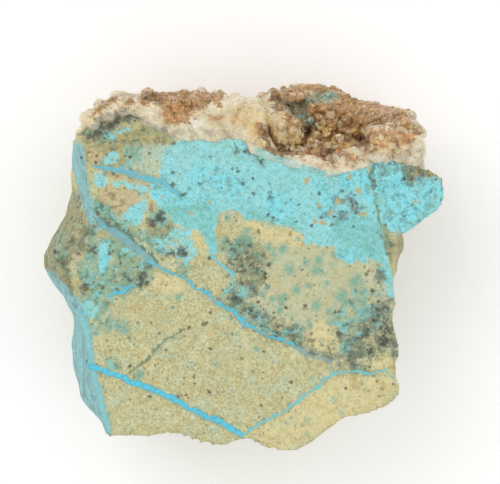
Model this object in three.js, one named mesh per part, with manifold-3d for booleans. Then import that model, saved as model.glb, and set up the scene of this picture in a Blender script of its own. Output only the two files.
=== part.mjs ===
// A hand specimen of altered host rock with turquoise veins, a drusy quartz rind along one edge and
// a crystal-lined hollow in that rind. It lies on its flat back with its show face up (+Z).
// The origin is at the middle of the flat back's plane, under the middle of the whole piece.
import * as THREE from 'three';
import { mergeVertices } from 'three/addons/utils/BufferGeometryUtils.js';
import Module from 'manifold-3d';

// ---------------------------------------------------------------- driving dimensions, millimetres

const THICKNESS = 24; // flat back to show face
const GAP = 0.3; // clearance between neighbouring pieces
const FACE_RELIEF = 0.45; // how far the show face dips below its highest places
const SIDE_ROUGHNESS = 0.9; // how far the broken sides wander inwards
const RIND_LUMP = 0.85; // height of the lumps on the quartz rind
const ARRIS = 0.35; // how far the show face's edge is worn down
const CORE = [0.3, -3.1]; // the point that the rock's rings are drawn around

// Noise that shapes the surfaces, in layers: feature sizes in millimetres or turns, and shares.
const FACE_WAVES = [{ size: 6, share: 0.35, seed: 3 }, { size: 2.4, share: 0.15, seed: 8 }];
const LEDGES = [{ across: 5, down: 3, share: 0.32 }, { across: 1.9, down: 1.5, share: 0.26 }];
const RIND_LUMPS = [
  { width: 2.6, perTurn: 1.3, share: 0.65, seed: 5 },
  { width: 1.1, perTurn: 2.3, share: 0.35, seed: 11 },
];

// Outline of the show face, clockwise from its top left corner.
const FACE = [
  [-21.2, 16.4], [-19.6, 18.6], [-18.2, 19.1], [-16.0, 20.6], [-14.0, 19.8], [-12.7, 18.6],
  [-10.5, 18.1], [-9.0, 17.1], [-5.0, 17.0], [0.3, 16.8], [0.9, 15.6], [3.3, 14.4], [7.2, 13.3],
  [11.2, 12.2], [13.7, 12.9], [16.4, 13.7], [18.1, 14.4], [20.1, 13.9], [22.1, 13.2], [23.5, 12.3],
  [24.6, 11.7], [26.2, 10.9], [26.2, 9.5], [25.9, 8.2], [25.2, 7.4], [23.5, 6.3], [22.4, 5.4],
  [21.0, 4.5], [19.9, 3.9], [19.8, 3.0], [19.4, 1.8], [19.1, 0.5], [19.3, -1.0], [19.5, -3.3],
  [19.7, -5.0], [19.2, -5.9], [19.3, -7.3], [20.1, -10.4], [20.2, -11.6], [19.7, -12.4],
  [19.7, -14.6], [20.2, -15.6], [20.2, -16.5], [19.6, -17.3], [18.2, -18.2], [16.5, -18.9],
  [14.4, -19.4], [13.3, -19.5], [12.0, -20.4], [10.0, -21.9], [8.2, -23.2], [7.1, -23.8],
  [6.1, -24.0], [4.2, -23.6], [2.3, -22.8], [1.0, -22.3], [-0.5, -22.4], [-2.6, -23.1],
  [-3.7, -23.0], [-5.3, -22.6], [-8.0, -21.8], [-9.7, -21.4], [-12.3, -22.1], [-14.0, -21.9],
  [-17.3, -21.9], [-17.7, -20.5], [-18.5, -17.8], [-19.4, -14.3], [-19.8, -12.3], [-19.9, -9.8],
  [-20.4, -8.1], [-21.0, -6.2], [-21.7, -4.1], [-22.7, -1.7], [-23.3, 0.2], [-24.0, 1.7],
  [-22.7, 2.9], [-21.2, 4.0], [-19.6, 5.3], [-19.2, 6.3], [-19.3, 7.6], [-19.6, 9.5],
  [-20.1, 12.0], [-20.7, 13.8],
];

// Outline a few millimetres down, where the broken sides stand furthest out on the left.
const SHOULDER_Z = 17.5;
const SHOULDER = [
  [-22.0, 16.6], [-19.6, 18.6], [-16.0, 20.4], [-10.5, 18.0], [-5.0, 17.0], [0.3, 16.7],
  [7.2, 14.9], [16.4, 14.4], [22.1, 13.0], [24.4, 11.2], [24.6, 9.0], [22.5, 6.0], [20.5, 4.5],
  [21.1, 3.4], [21.0, 2.0], [20.2, 0.7], [19.9, 0.0], [20.0, -0.9], [19.4, -2.1], [19.1, -5.0],
  [18.8, -8.0], [19.4, -12.0], [19.2, -15.0], [19.6, -16.4], [17.6, -18.0], [13.0, -19.0],
  [9.5, -21.6], [6.2, -23.2], [2.0, -22.0], [-2.6, -22.4], [-8.0, -21.0], [-12.0, -21.3],
  [-17.0, -21.4], [-17.4, -21.6], [-18.3, -20.3], [-19.3, -18.9], [-20.3, -18.7],
  [-20.9, -17.7], [-21.4, -15.3], [-21.9, -13.6], [-22.1, -12.1], [-22.3, -10.1],
  [-21.7, -7.5], [-22.1, -5.7], [-23.1, -4.2], [-24.6, -2.2], [-25.8, -0.3], [-26.4, 0.9],
  [-25.4, 2.3], [-24.8, 3.4], [-23.6, 5.5], [-22.7, 7.2], [-22.8, 8.5], [-22.2, 9.0],
  [-22.2, 14.3],
];

// Where the rind meets the rock on the show face. Deeper down the joint is a gently falling line.
const JOINT_LINE = [
  [-24.0, 14.6], [-21.3, 16.9], [-19.6, 18.5], [-18.2, 18.9], [-16.0, 20.5], [-14.0, 19.6],
  [-12.7, 18.4], [-10.5, 17.9], [-9.0, 16.9], [-5.0, 16.8], [0.3, 16.6], [0.8, 15.4],
  [3.3, 14.2], [7.2, 13.1], [11.2, 12.0], [13.7, 12.7], [16.4, 13.5], [18.1, 14.2],
  [20.1, 13.7], [22.1, 13.0], [23.5, 12.1], [24.2, 11.6],
];
const JOINT_DEEP = { y: 16.5, x: -21, slope: -0.09 };
const JOINT_TURN = [23.6, 19]; // from this height the wavy joint eases into the deep line
const JOINT_HEIGHTS = [10, 17.5, 20, 21.6, 23]; // where the joint's surface has corners
const JOINT_MIDDLE = 12; // height of the middle of the joint's ends

// Sections across the rind: at each x, seven [y, z] points from its front edge over to its foot.
const RIND = [
  { x: -21.6, at: [
    [17.2, 23.0], [17.4, 21], [17.5, 18], [17.5, 14], [17.4, 10], [17.2, 6], [17.0, 3],
  ] },
  { x: -19.9, at: [
    [20.0, 23.2], [20.3, 21.5], [20.5, 18.5], [20.6, 14], [20.3, 10], [19.8, 6], [18.5, 2.5],
  ] },
  { x: -16.0, at: [
    [22.0, 23.6], [22.3, 22], [22.4, 19], [22.3, 14], [21.8, 10], [21.2, 6], [19.5, 2],
  ] },
  { x: -13.4, at: [
    [21.4, 23.7], [21.9, 22], [22.2, 19], [22.4, 15], [22.0, 10], [21.3, 6], [19.5, 2],
  ] },
  { x: -10.8, at: [
    [20.6, 23.8], [21.6, 22.2], [22.8, 20], [23.0, 15.5], [22.4, 10], [21.7, 6], [19.5, 2],
  ] },
  { x: -8.2, at: [
    [19.0, 23.8], [20.6, 22.4], [22.6, 19.5], [22.9, 15], [22.2, 10], [21.5, 6], [19.2, 2],
  ] },
  { x: -5.0, at: [
    [20.3, 23.8], [21.6, 22], [22.8, 19.5], [22.6, 15], [22.8, 10], [21.6, 6], [19, 2],
  ] },
  { x: -1.8, at: [
    [21.2, 23.7], [21.6, 22], [21.6, 19], [21.8, 15], [22.4, 10], [21.8, 6], [19, 2],
  ] },
  { x: 2.0, at: [
    [21.3, 23.4], [21.6, 21.8], [21.5, 19], [21.5, 15.5], [22.3, 11], [22.2, 6.5], [19, 2],
  ] },
  { x: 4.0, at: [
    [14.8, 23.7], [15.3, 21.5], [17.0, 18.5], [19.5, 18.5], [23.0, 14.5], [22.8, 8], [19, 2],
  ] },
  { x: 7.4, at: [
    [13.8, 23.8], [14.3, 21], [15.5, 16.5], [19.0, 16.5], [24.1, 12.5], [23.2, 7], [19, 2],
  ] },
  { x: 11.2, at: [
    [13.1, 23.8], [13.6, 20.5], [15.0, 15.2], [18.8, 15.8], [23.2, 12.5], [22.2, 7], [18.5, 2],
  ] },
  { x: 14.5, at: [
    [13.9, 23.8], [14.5, 20.5], [15.5, 16], [18.5, 17.5], [22.1, 14], [21.2, 8], [17.5, 2],
  ] },
  { x: 17.0, at: [
    [15.6, 23.7], [16.2, 21.5], [17, 19.5], [19, 19], [21.3, 15.5], [20.3, 8.5], [17, 2],
  ] },
  { x: 19.5, at: [
    [18.6, 23.5], [19.3, 21.5], [20.0, 19.8], [20.5, 18], [20.7, 15], [19.5, 8.5], [16.5, 2],
  ] },
  { x: 22.0, at: [
    [18.5, 23.2], [19.0, 21.5], [19.4, 19], [19.4, 17], [19.2, 14], [18.0, 8], [15, 2.5],
  ] },
  { x: 23.6, at: [
    [16.8, 22.5], [17, 20.5], [17, 18.5], [16.8, 16], [16.5, 13], [15.5, 8], [13.5, 4],
  ] },
];
const RIND_STATIONS = 40; // steps along the rind
const SECTION_TURNS = 12; // steps over the outside of a section, two to each of its stretches
const JOINT_SHARES = [0, 0.5, 1]; // shares of the way up the joint, foot to front
const BEHIND_JOINT = 1.5; // how far the rind is drawn past the joint before it is trimmed there
const RIND_ENVELOPE = { left: -21.9, right: 23.65, top: 24.3, foot: 1.4, front: 23.9 };
const RIND_EASE = 0.8; // turns over which the lumps die away towards both ends of a section
const CREAM_LUMP = {
  centre: [4.6, 17.2, 17.3], radii: [3.1, 3.1, 4.0], rough: 0.12, lumps: 2.1, seed: 7,
};

// The open hollow in the rind, in the rind's own (x, turn) terms, and the sheet that lines it.
const HOLLOW = { x: [8.2, 15.9], turn: [1, 3.5], corner: 2 };
const LINING_THICKNESS = 0.95;
const LINING_EDGE = 0.4; // its thickness at the rim, as a share
const LINING_LUMP = [0.85, 1.15]; // its thickness inside the rim, as shares
const LINING_STRETCH = { flat: 0.95, corner: 0.7 }; // how far a face stands off, per unit at its corners
const CORNER_FREE = 0.32; // no crystal stands this close to the hollow's inner corner, in turns

// Crystals: where they stand, how big they are, how deep they are rooted and how far apart they are.
const RIND_CRYSTALS = {
  count: 42, seed: 41, x: [-20.6, 22.8], turn: [0.7, 5.2],
  radius: [0.5, 1.05], rise: [0.6, 1.2], root: 0.8, apart: 1.9, lift: 0,
};
const HOLLOW_MARGIN = 0.7; // the rind's own crystals keep this far from the hollow
const HOLLOW_INSET = { x: 0.95, front: 0.35, back: 0.25 }; // how far inside its rim the hollow's stand
const HOLLOW_CRYSTALS = {
  count: 24, seed: 90, x: [HOLLOW.x[0] + HOLLOW_INSET.x, HOLLOW.x[1] - HOLLOW_INSET.x],
  turn: [HOLLOW.turn[0] + HOLLOW_INSET.front, HOLLOW.turn[1] - HOLLOW_INSET.back],
  radius: [0.4, 0.75], rise: [0.9, 1.7], root: 0.4, apart: 1.15, lift: GAP + LINING_THICKNESS * 0.65,
};
const LEAN = 0.5; // how far crystals lean from square to the surface
const SHAFT = 0.45; // share of a crystal's rise that is prism, below its pyramid
const TAPER = 0.9; // width of a crystal's root, as a share of its full width

// Rings of the show face, as shares of the way from its middle to its edge.
const FACE_RINGS = [0.15, 0.33, 0.5, 0.66, 0.81, 0.93, 1];

// Rings of the sides, from the face down to the back: how far each has moved to the shoulder's
// outline and to its plain one, its size, and how rough it is.
const SIDE_RINGS = [
  { z: 22.4, toShoulder: 0.35, plain: 0, size: 1, rough: 0.15 },
  { z: 20.2, toShoulder: 0.75, plain: 0, size: 1, rough: 0.3 },
  { z: SHOULDER_Z, toShoulder: 1, plain: 0, size: 1, rough: 0.1 },
  { z: 13.5, toShoulder: 1, plain: 0.5, size: 0.995, rough: 0.9 },
  { z: 9, toShoulder: 1, plain: 0.85, size: 0.985, rough: 1.1 },
  { z: 4.6, toShoulder: 1, plain: 1, size: 0.965, rough: 1.1 },
  { z: 1.4, toShoulder: 1, plain: 1, size: 0.935, rough: 0.7 },
  { z: 0, toShoulder: 1, plain: 1, size: 0.9, rough: 0.5 },
];
const RIND_SIDE = { sine: 0.9, ease: 0.35 }; // the directions in which the rind hides the sides
const WEAR_TURNS = [-0.26, -0.17, -0.09, 0, 0.09, 0.17, 0.26]; // radians the plain outline averages over

// Flat breaks on the sides and the back: a point on the plane and its outward direction.
const BREAKS = [
  { point: [15.5, -19, 7], facing: [0.6, -0.6, -0.5] },
  { point: [-19.5, -14, 7], facing: [-0.8, -0.25, -0.5] },
  { point: [19.2, 2, 7], facing: [0.88, 0.12, -0.42] },
  { point: [-22, 9, 8], facing: [-0.84, 0.3, -0.42] },
  { point: [-4, -21.5, 8], facing: [-0.12, -0.9, -0.4] },
  { point: [24, 9.5, 14], facing: [0.9, -0.15, -0.45] },
  { point: [-21, -1, 4], facing: [-0.7, -0.1, -0.75] },
  { point: [8, -21.5, 3.5], facing: [0.1, -0.7, -0.75] },
];
const RIND_BREAKS = [
  { point: [-20.6, 19, 9], facing: [-0.75, 0.25, -0.5] },
  { point: [21.6, 16, 8], facing: [0.8, 0.3, -0.45] },
  { point: [-6, 22.2, 5], facing: [-0.1, 0.8, -0.6] },
];

// Small pits in the show face.
const PIT_SHAPE = [1, 0.8, 0.9];
const PITS = [
  { centre: [15.6, -15.3, 24.2], radius: 1.1 },
  { centre: [17.9, -14.9, 24.5], radius: 1.2 },
  { centre: [-18.7, 17.0, 24.3], radius: 1.0 },
  { centre: [-12.3, 0.7, 24.5], radius: 0.9 },
];

// How far the block that makes room for the rind reaches past the rock.
const CUT_MARGIN = 2;
const CUT_TOP = 40;

const COLOURS = { rock: 0xcdbb8a, rind: 0xd6c3a6, lining: 0x9a7756 };

// ---------------------------------------------------------------- noise and interpolation

const lerp = (a, b, t) => a + (b - a) * t;
const clamp01 = (t) => Math.min(1, Math.max(0, t));
const smooth = (t) => clamp01(t) ** 2 * (3 - 2 * clamp01(t));

function hash(x, y, z) {
  const n = Math.sin(x * 127.1 + y * 311.7 + z * 74.7) * 43758.5453;
  return n - Math.floor(n);
}

// Smooth noise between -1 and 1 that repeats nowhere on the piece.
function noise(x, y, z) {
  const [xi, yi, zi] = [x, y, z].map(Math.floor);
  const [u, v, w] = [smooth(x - xi), smooth(y - yi), smooth(z - zi)];
  const layer = (k) => lerp(
    lerp(hash(xi, yi, zi + k), hash(xi + 1, yi, zi + k), u),
    lerp(hash(xi, yi + 1, zi + k), hash(xi + 1, yi + 1, zi + k), u),
    v,
  );
  return 2 * lerp(layer(0), layer(1), w) - 1;
}

// A repeatable stream of random numbers between 0 and 1.
function randomStream(seed) {
  let state = seed;
  return () => {
    state = (state * 16807) % 2147483647;
    return state / 2147483647;
  };
}

// Height of a line of [x, y] points at x.
function lineAt(line, x) {
  const after = Math.min(line.length - 1, Math.max(1, line.findIndex((p) => p[0] >= x)));
  const [a, b] = [line[after - 1], line[after]];
  return lerp(a[1], b[1], clamp01((x - a[0]) / (b[0] - a[0])));
}

// ---------------------------------------------------------------- closed solids

const wasm = await Module();
wasm.setup();

function geometryOf(points, triangles) {
  const geometry = new THREE.BufferGeometry();
  geometry.setAttribute('position', new THREE.Float32BufferAttribute(points.flat(), 3));
  geometry.setIndex(triangles.flat());
  return geometry;
}

function solidOf(geometry) {
  const bare = geometry.clone();
  bare.deleteAttribute('normal');
  bare.deleteAttribute('uv');
  const merged = mergeVertices(bare, 1e-5);
  return new wasm.Manifold(new wasm.Mesh({
    numProp: 3,
    vertProperties: Float32Array.from(merged.attributes.position.array),
    triVerts: Uint32Array.from(merged.index.array),
  }));
}

function meshOf(solid, name, colour, roughness) {
  const mesh = solid.getMesh();
  const geometry = new THREE.BufferGeometry();
  geometry.setAttribute('position', new THREE.Float32BufferAttribute(mesh.vertProperties, 3));
  geometry.setIndex(Array.from(mesh.triVerts));
  geometry.computeVertexNormals();
  const material = new THREE.MeshStandardMaterial({ color: colour, roughness, metalness: 0 });
  const result = new THREE.Mesh(geometry, material);
  result.name = name;
  return result;
}

// A solid from closed rings of equal length, each joined to the next, with both ends capped.
// The ends are fans around one middle point each. Rings turn so that faces point outwards.
function loft(rings, firstMiddle, lastMiddle) {
  const size = rings[0].length;
  const points = [...rings.flat(), firstMiddle, lastMiddle];
  const first = points.length - 2;
  const triangles = [];
  for (let r = 0; r + 1 < rings.length; r++) {
    for (let i = 0; i < size; i++) {
      const j = (i + 1) % size;
      const [a, b, c, d] = [r * size + i, r * size + j, (r + 1) * size + j, (r + 1) * size + i];
      triangles.push([a, b, c], [a, c, d]);
    }
  }
  for (let i = 0; i < size; i++) {
    const j = (i + 1) % size;
    const end = (rings.length - 1) * size;
    triangles.push([first, j, i], [first + 1, end + i, end + j]);
  }
  return solidOf(geometryOf(points, triangles));
}

// ---------------------------------------------------------------- the joint of rind and rock

function jointAt(x, z) {
  const deep = JOINT_DEEP.y + JOINT_DEEP.slope * (x - JOINT_DEEP.x);
  const depth = smooth((JOINT_TURN[0] - z) / (JOINT_TURN[0] - JOINT_TURN[1]));
  return lerp(lineAt(JOINT_LINE, x), deep, depth);
}

const stationX = (step) => lerp(RIND[0].x, RIND.at(-1).x, step / RIND_STATIONS);

// Everything on the rind's side of the joint, moved down by drop, between two heights.
function rindSide(drop, low, high, left, right, top) {
  const heights = [low, ...JOINT_HEIGHTS, high];
  const xs = [left];
  for (let step = 1; step < RIND_STATIONS; step++) xs.push(stationX(step));
  xs.push(right);
  const rings = xs.map((x) => [
    [x, top, low],
    [x, top, high],
    ...heights.map((z) => [x, jointAt(x, z) - drop, z]).reverse(),
  ]);
  const middle = (x) => [x, (jointAt(x, JOINT_MIDDLE) - drop + top) / 2, (low + high) / 2];
  return loft(rings, middle(left), middle(right));
}

// ---------------------------------------------------------------- the rock

function radiusAt(outline, angle) {
  const [dx, dy] = [Math.cos(angle), Math.sin(angle)];
  let radius = 0;
  outline.forEach(([x1, y1], i) => {
    const [x2, y2] = outline[(i + 1) % outline.length];
    const [ax, ay, ex, ey] = [x1 - CORE[0], y1 - CORE[1], x2 - x1, y2 - y1];
    const across = dx * ey - dy * ex;
    if (Math.abs(across) < 1e-9) return;
    const along = (ax * ey - ay * ex) / across;
    const share = (ax * dy - ay * dx) / across;
    if (share >= -1e-6 && share <= 1 + 1e-6) radius = Math.max(radius, along);
  });
  return radius;
}

// The shoulder's outline with its points and notches worn away, for the broken sides lower down.
function plainRadius(angle) {
  const radii = WEAR_TURNS.map((turn) => radiusAt(SHOULDER, angle + turn));
  return radii.reduce((sum, radius) => sum + radius, 0) / radii.length;
}

// The directions of the outline's corners, with one more in the middle of each long edge.
function ringAngles() {
  const longEdge = 2.3;
  const angles = FACE.flatMap(([x, y], i) => {
    const [nx, ny] = FACE[(i + 1) % FACE.length];
    const here = Math.atan2(y - CORE[1], x - CORE[0]);
    if (Math.hypot(nx - x, ny - y) < longEdge) return [here];
    return [here, Math.atan2((y + ny) / 2 - CORE[1], (x + nx) / 2 - CORE[0])];
  });
  return angles.sort((a, b) => b - a);
}

// How far the show face dips below its full height.
function faceDip(x, y) {
  const dip = FACE_WAVES.reduce((sum, { size, share, seed }) => (
    sum - share * noise(x / size, y / size, seed)
  ), 0.5);
  return FACE_RELIEF * dip;
}

function ledgeAt(x, y, z) {
  return LEDGES.reduce((sum, { across, down, share }) => (
    sum + share * noise(x / across, y / across, z / down)
  ), 0.5);
}

function rockSolid() {
  const angles = ringAngles();
  const place = (angle, radius, z) => [
    CORE[0] + radius * Math.cos(angle), CORE[1] + radius * Math.sin(angle), z,
  ];
  const faceRings = FACE_RINGS.map((share) => angles.map((angle) => {
    const [x, y] = place(angle, share * radiusAt(FACE, angle), 0);
    return [x, y, THICKNESS - faceDip(x, y) - (share === 1 ? ARRIS : 0)];
  }));

  // Towards the rind the sides stay full, and are cut later.
  const sideRings = SIDE_RINGS.map(({ z, toShoulder, plain, size, rough }) => angles.map((angle) => {
    const outer = lerp(radiusAt(FACE, angle), radiusAt(SHOULDER, angle), toShoulder);
    const free = smooth((RIND_SIDE.sine - Math.sin(angle)) / RIND_SIDE.ease);
    const full = lerp(outer, Math.min(outer, plainRadius(angle)), plain * free);
    const [x, y] = place(angle, full, 0);
    const radius = full * lerp(1, size, free) - free * rough * SIDE_ROUGHNESS * ledgeAt(x, y, z);
    return place(angle, radius, z);
  }));

  const backRing = sideRings.at(-1).map(([x, y]) => [lerp(CORE[0], x, 0.5), lerp(CORE[1], y, 0.5), 0]);
  return loft(
    [...faceRings, ...sideRings, backRing],
    [...CORE, THICKNESS - faceDip(...CORE)],
    [...CORE, 0],
  );
}

// A big block whose one face is the break's plane and that takes away all in front of it.
function breakSolid({ point, facing }) {
  const size = 60;
  const box = new THREE.BoxGeometry(size, size, size);
  box.translate(0, 0, size / 2);
  const turn = new THREE.Quaternion().setFromUnitVectors(
    new THREE.Vector3(0, 0, 1), new THREE.Vector3(...facing).normalize(),
  );
  box.applyQuaternion(turn);
  box.translate(...point);
  return solidOf(box);
}

function pitSolid({ centre, radius }) {
  const ball = new THREE.IcosahedronGeometry(radius, 1);
  ball.scale(...PIT_SHAPE);
  ball.rotateZ(centre[0]);
  ball.translate(...centre);
  return solidOf(ball);
}

// ---------------------------------------------------------------- the rind and its hollow

const LAST_TURN = RIND[0].at.length - 1;

// A point on the outside of the rind's section at x. turn runs from 0, the front edge, to the last
// turn, the foot.
function rindPoint(x, turn) {
  const after = Math.min(RIND.length - 1, Math.max(1, RIND.findIndex((s) => s.x >= x)));
  const [a, b] = [RIND[after - 1], RIND[after]];
  const t = clamp01((x - a.x) / (b.x - a.x));
  const i = Math.min(LAST_TURN - 1, Math.floor(turn));
  const corner = (k) => [0, 1].map((n) => lerp(a.at[k][n], b.at[k][n], t));
  const [p, q] = [corner(i), corner(i + 1)];
  const [y, z] = [lerp(p[0], q[0], turn - i), lerp(p[1], q[1], turn - i)];
  const [oy, oz] = [q[1] - p[1], p[0] - q[0]].map((v) => -v / Math.hypot(p[0] - q[0], p[1] - q[1]));
  const edge = smooth(turn / RIND_EASE) * smooth((LAST_TURN - turn) / RIND_EASE);
  const swell = RIND_LUMPS.reduce((sum, { width, perTurn, share, seed }) => (
    sum + share * noise(x / width, turn * perTurn, seed)
  ), 0);
  const push = RIND_LUMP * edge * swell;
  return new THREE.Vector3(x, y + oy * push, z + oz * push);
}

function rindNormal(x, turn) {
  const step = 0.25;
  const along = rindPoint(x + step, turn).sub(rindPoint(x - step, turn));
  const [before, after] = [Math.max(0, turn - step), Math.min(LAST_TURN, turn + step)];
  const over = rindPoint(x, after).sub(rindPoint(x, before));
  return along.cross(over).normalize();
}

function rindLoft() {
  const rings = [];
  for (let step = 0; step <= RIND_STATIONS; step++) {
    const x = stationX(step);
    const outside = [];
    for (let k = 0; k <= SECTION_TURNS; k++) {
      outside.push(rindPoint(x, (LAST_TURN * k) / SECTION_TURNS).toArray());
    }
    const [front, foot] = [outside[0][2], outside.at(-1)[2]];
    const inside = JOINT_SHARES.map((share) => lerp(foot, front, share))
      .map((z) => [x, jointAt(x, z) - BEHIND_JOINT, z]);
    rings.push([...outside, ...inside].reverse());
  }
  const middle = (ring) => [0, 1, 2].map((n) => ring.reduce((sum, p) => sum + p[n], 0) / ring.length);
  return loft(rings, middle(rings[0]), middle(rings.at(-1)));
}

// A six-sided quartz point: a short prism with a pyramid on it, standing along facing at place.
function crystalSolid(place, facing, radius, rise, root, spin) {
  const profile = [[0, -root], [radius * TAPER, -root], [radius, rise * SHAFT], [0, rise]];
  const point = new THREE.LatheGeometry(profile.map(([r, h]) => new THREE.Vector2(r, h)), 6);
  point.rotateY(spin);
  point.applyQuaternion(new THREE.Quaternion().setFromUnitVectors(new THREE.Vector3(0, 1, 0), facing));
  point.translate(place.x, place.y, place.z);
  return solidOf(point);
}

// Crystals scattered over part of the rind. lift raises their roots off the rind's surface.
function crystals({ count, seed, x: xRange, turn: turnRange, radius, rise, root, apart, lift }, skip) {
  const random = randomStream(seed);
  const result = [];
  const taken = [];
  while (result.length < count) {
    const x = lerp(...xRange, random());
    const turn = lerp(...turnRange, random());
    const big = random() ** 1.6;
    const lean = new THREE.Vector3(random() - 0.5, random() - 0.5, random() - 0.5);
    const spin = random() * Math.PI;
    if (skip(x, turn)) continue;
    const normal = rindNormal(x, turn);
    const facing = normal.clone().addScaledVector(lean, LEAN).normalize();
    const place = rindPoint(x, turn).addScaledVector(normal, lift);
    if (taken.some((other) => other.distanceTo(place) < apart)) continue;
    taken.push(place);
    result.push(crystalSolid(place, facing, lerp(...radius, big), lerp(...rise, big), root, spin));
  }
  return result;
}

function inHollow(x, turn, margin = 0) {
  return x > HOLLOW.x[0] - margin && x < HOLLOW.x[1] + margin
    && turn > HOLLOW.turn[0] - margin && turn < HOLLOW.turn[1] + margin;
}

function creamLump() {
  const { centre, radii, rough, lumps, seed } = CREAM_LUMP;
  const ball = new THREE.IcosahedronGeometry(1, 2);
  const place = ball.attributes.position;
  for (let i = 0; i < place.count; i++) {
    const p = new THREE.Vector3().fromBufferAttribute(place, i);
    p.multiplyScalar(1 + rough * noise(p.x * lumps + seed, p.y * lumps, p.z * lumps));
    place.setXYZ(i, p.x * radii[0], p.y * radii[1], p.z * radii[2]);
  }
  ball.translate(...centre);
  return solidOf(ball);
}

function rindSolid() {
  const { left, right, top, foot, front } = RIND_ENVELOPE;
  const points = crystals(RIND_CRYSTALS, (x, turn) => inHollow(x, turn, HOLLOW_MARGIN));
  const grown = [creamLump(), ...points].reduce((sum, solid) => sum.add(solid), rindLoft());
  const trimmed = grown.intersect(rindSide(0, foot, front, left, right, top));
  return RIND_BREAKS.map(breakSolid).reduce((rest, cut) => rest.subtract(cut), trimmed);
}

// The sheet under the hollow's crystals. It follows the rind's own corners one clearance off them.
function liningSheet() {
  const xs = [];
  for (let step = 0; step <= RIND_STATIONS; step++) {
    if (stationX(step) > HOLLOW.x[0] && stationX(step) < HOLLOW.x[1]) xs.push(stationX(step));
  }
  const turns = [];
  for (let turn = HOLLOW.turn[0]; turn <= HOLLOW.turn[1]; turn += LAST_TURN / SECTION_TURNS) {
    turns.push(turn);
  }
  const [columns, rows] = [xs.length - 1, turns.length - 1];
  const stretch = (turn) => (turn === HOLLOW.corner ? LINING_STRETCH.corner : LINING_STRETCH.flat);

  const layer = (height) => xs.flatMap((x, c) => turns.map((turn, r) => (
    rindPoint(x, turn).addScaledVector(rindNormal(x, turn), GAP / stretch(turn) + height(c, r)).toArray()
  )));
  const atEdge = (c, r) => c === 0 || c === columns || r === 0 || r === rows;
  const share = (c, r) => (atEdge(c, r) ? LINING_EDGE : lerp(...LINING_LUMP, hash(c, r, 2)));
  const upper = layer((c, r) => LINING_THICKNESS * share(c, r));
  const points = [...upper, ...layer(() => 0)];

  const under = upper.length;
  const at = (c, r) => c * (rows + 1) + r;
  const triangles = [];
  for (let c = 0; c < columns; c++) {
    for (let r = 0; r < rows; r++) {
      const [p, q, s, t] = [at(c, r), at(c + 1, r), at(c + 1, r + 1), at(c, r + 1)];
      triangles.push([p, q, t], [q, s, t]);
      triangles.push([under + p, under + t, under + q], [under + q, under + t, under + s]);
    }
  }
  const rim = [];
  for (let c = 0; c < columns; c++) rim.push(at(c, 0));
  for (let r = 0; r < rows; r++) rim.push(at(columns, r));
  for (let c = columns; c > 0; c--) rim.push(at(c, rows));
  for (let r = rows; r > 0; r--) rim.push(at(0, r));
  rim.forEach((p, i) => {
    const q = rim[(i + 1) % rim.length];
    triangles.push([p, under + q, q], [p, under + p, under + q]);
  });
  return solidOf(geometryOf(points, triangles));
}

function liningSolid() {
  const inCorner = (x, turn) => Math.abs(turn - HOLLOW.corner) < CORNER_FREE;
  return crystals(HOLLOW_CRYSTALS, inCorner).reduce((sum, solid) => sum.add(solid), liningSheet());
}

// ---------------------------------------------------------------- the specimen

const { left, right } = RIND_ENVELOPE;
const [under, over] = [-CUT_MARGIN, THICKNESS + CUT_MARGIN];
const room = rindSide(GAP, under, over, left - 2 * CUT_MARGIN, right + GAP, CUT_TOP);
const cuts = [room, ...BREAKS.map(breakSolid), ...PITS.map(pitSolid)];
const rind = rindSolid();
const rock = cuts.reduce((rest, cut) => rest.subtract(cut), rockSolid());

const specimen = new THREE.Group();
specimen.add(meshOf(rock, 'matrix', COLOURS.rock, 0.85));
specimen.add(meshOf(rind, 'quartz_crust', COLOURS.rind, 0.45));
specimen.add(meshOf(liningSolid(), 'vug_crystals', COLOURS.lining, 0.4));

export default specimen;
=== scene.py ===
"""A hand specimen of altered host rock with turquoise veins and films and a drusy quartz rind.

It is laid out as an add-on: settings, one operator for each piece, and a panel in the sidebar.
Lengths in lists are millimetres, and everything that is built is in metres.
"""

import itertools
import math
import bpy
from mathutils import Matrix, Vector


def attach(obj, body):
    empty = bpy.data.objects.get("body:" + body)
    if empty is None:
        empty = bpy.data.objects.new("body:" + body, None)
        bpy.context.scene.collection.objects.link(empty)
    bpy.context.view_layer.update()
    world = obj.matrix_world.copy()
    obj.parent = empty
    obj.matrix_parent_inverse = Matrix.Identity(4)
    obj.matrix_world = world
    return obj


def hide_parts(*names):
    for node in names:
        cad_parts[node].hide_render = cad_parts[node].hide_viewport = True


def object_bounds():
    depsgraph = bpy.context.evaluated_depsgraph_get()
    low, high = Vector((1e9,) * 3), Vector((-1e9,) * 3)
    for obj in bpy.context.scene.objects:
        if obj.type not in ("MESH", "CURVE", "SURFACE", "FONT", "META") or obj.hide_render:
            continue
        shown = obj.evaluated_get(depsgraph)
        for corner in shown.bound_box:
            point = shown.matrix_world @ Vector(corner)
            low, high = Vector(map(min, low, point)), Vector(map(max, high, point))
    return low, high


bl_info = {
    "name": "Veined rock specimen",
    "version": (1, 0, 0),
    "blender": (4, 5, 0),
    "location": "View3D > Sidebar > Specimen",
    "description": "Builds a hand specimen of veined rock with a drusy quartz rind",
    "category": "Add Mesh",
}

import bpy
import numpy as np
from mathutils import Matrix, Vector

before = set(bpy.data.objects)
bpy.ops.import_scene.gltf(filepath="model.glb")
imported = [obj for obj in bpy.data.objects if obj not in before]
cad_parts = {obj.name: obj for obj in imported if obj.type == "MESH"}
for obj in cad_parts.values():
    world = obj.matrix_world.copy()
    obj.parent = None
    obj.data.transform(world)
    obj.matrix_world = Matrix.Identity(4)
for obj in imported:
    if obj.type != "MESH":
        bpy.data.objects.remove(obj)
CAD_BOX = [list(corner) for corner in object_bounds()]
MM = 0.001

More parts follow.
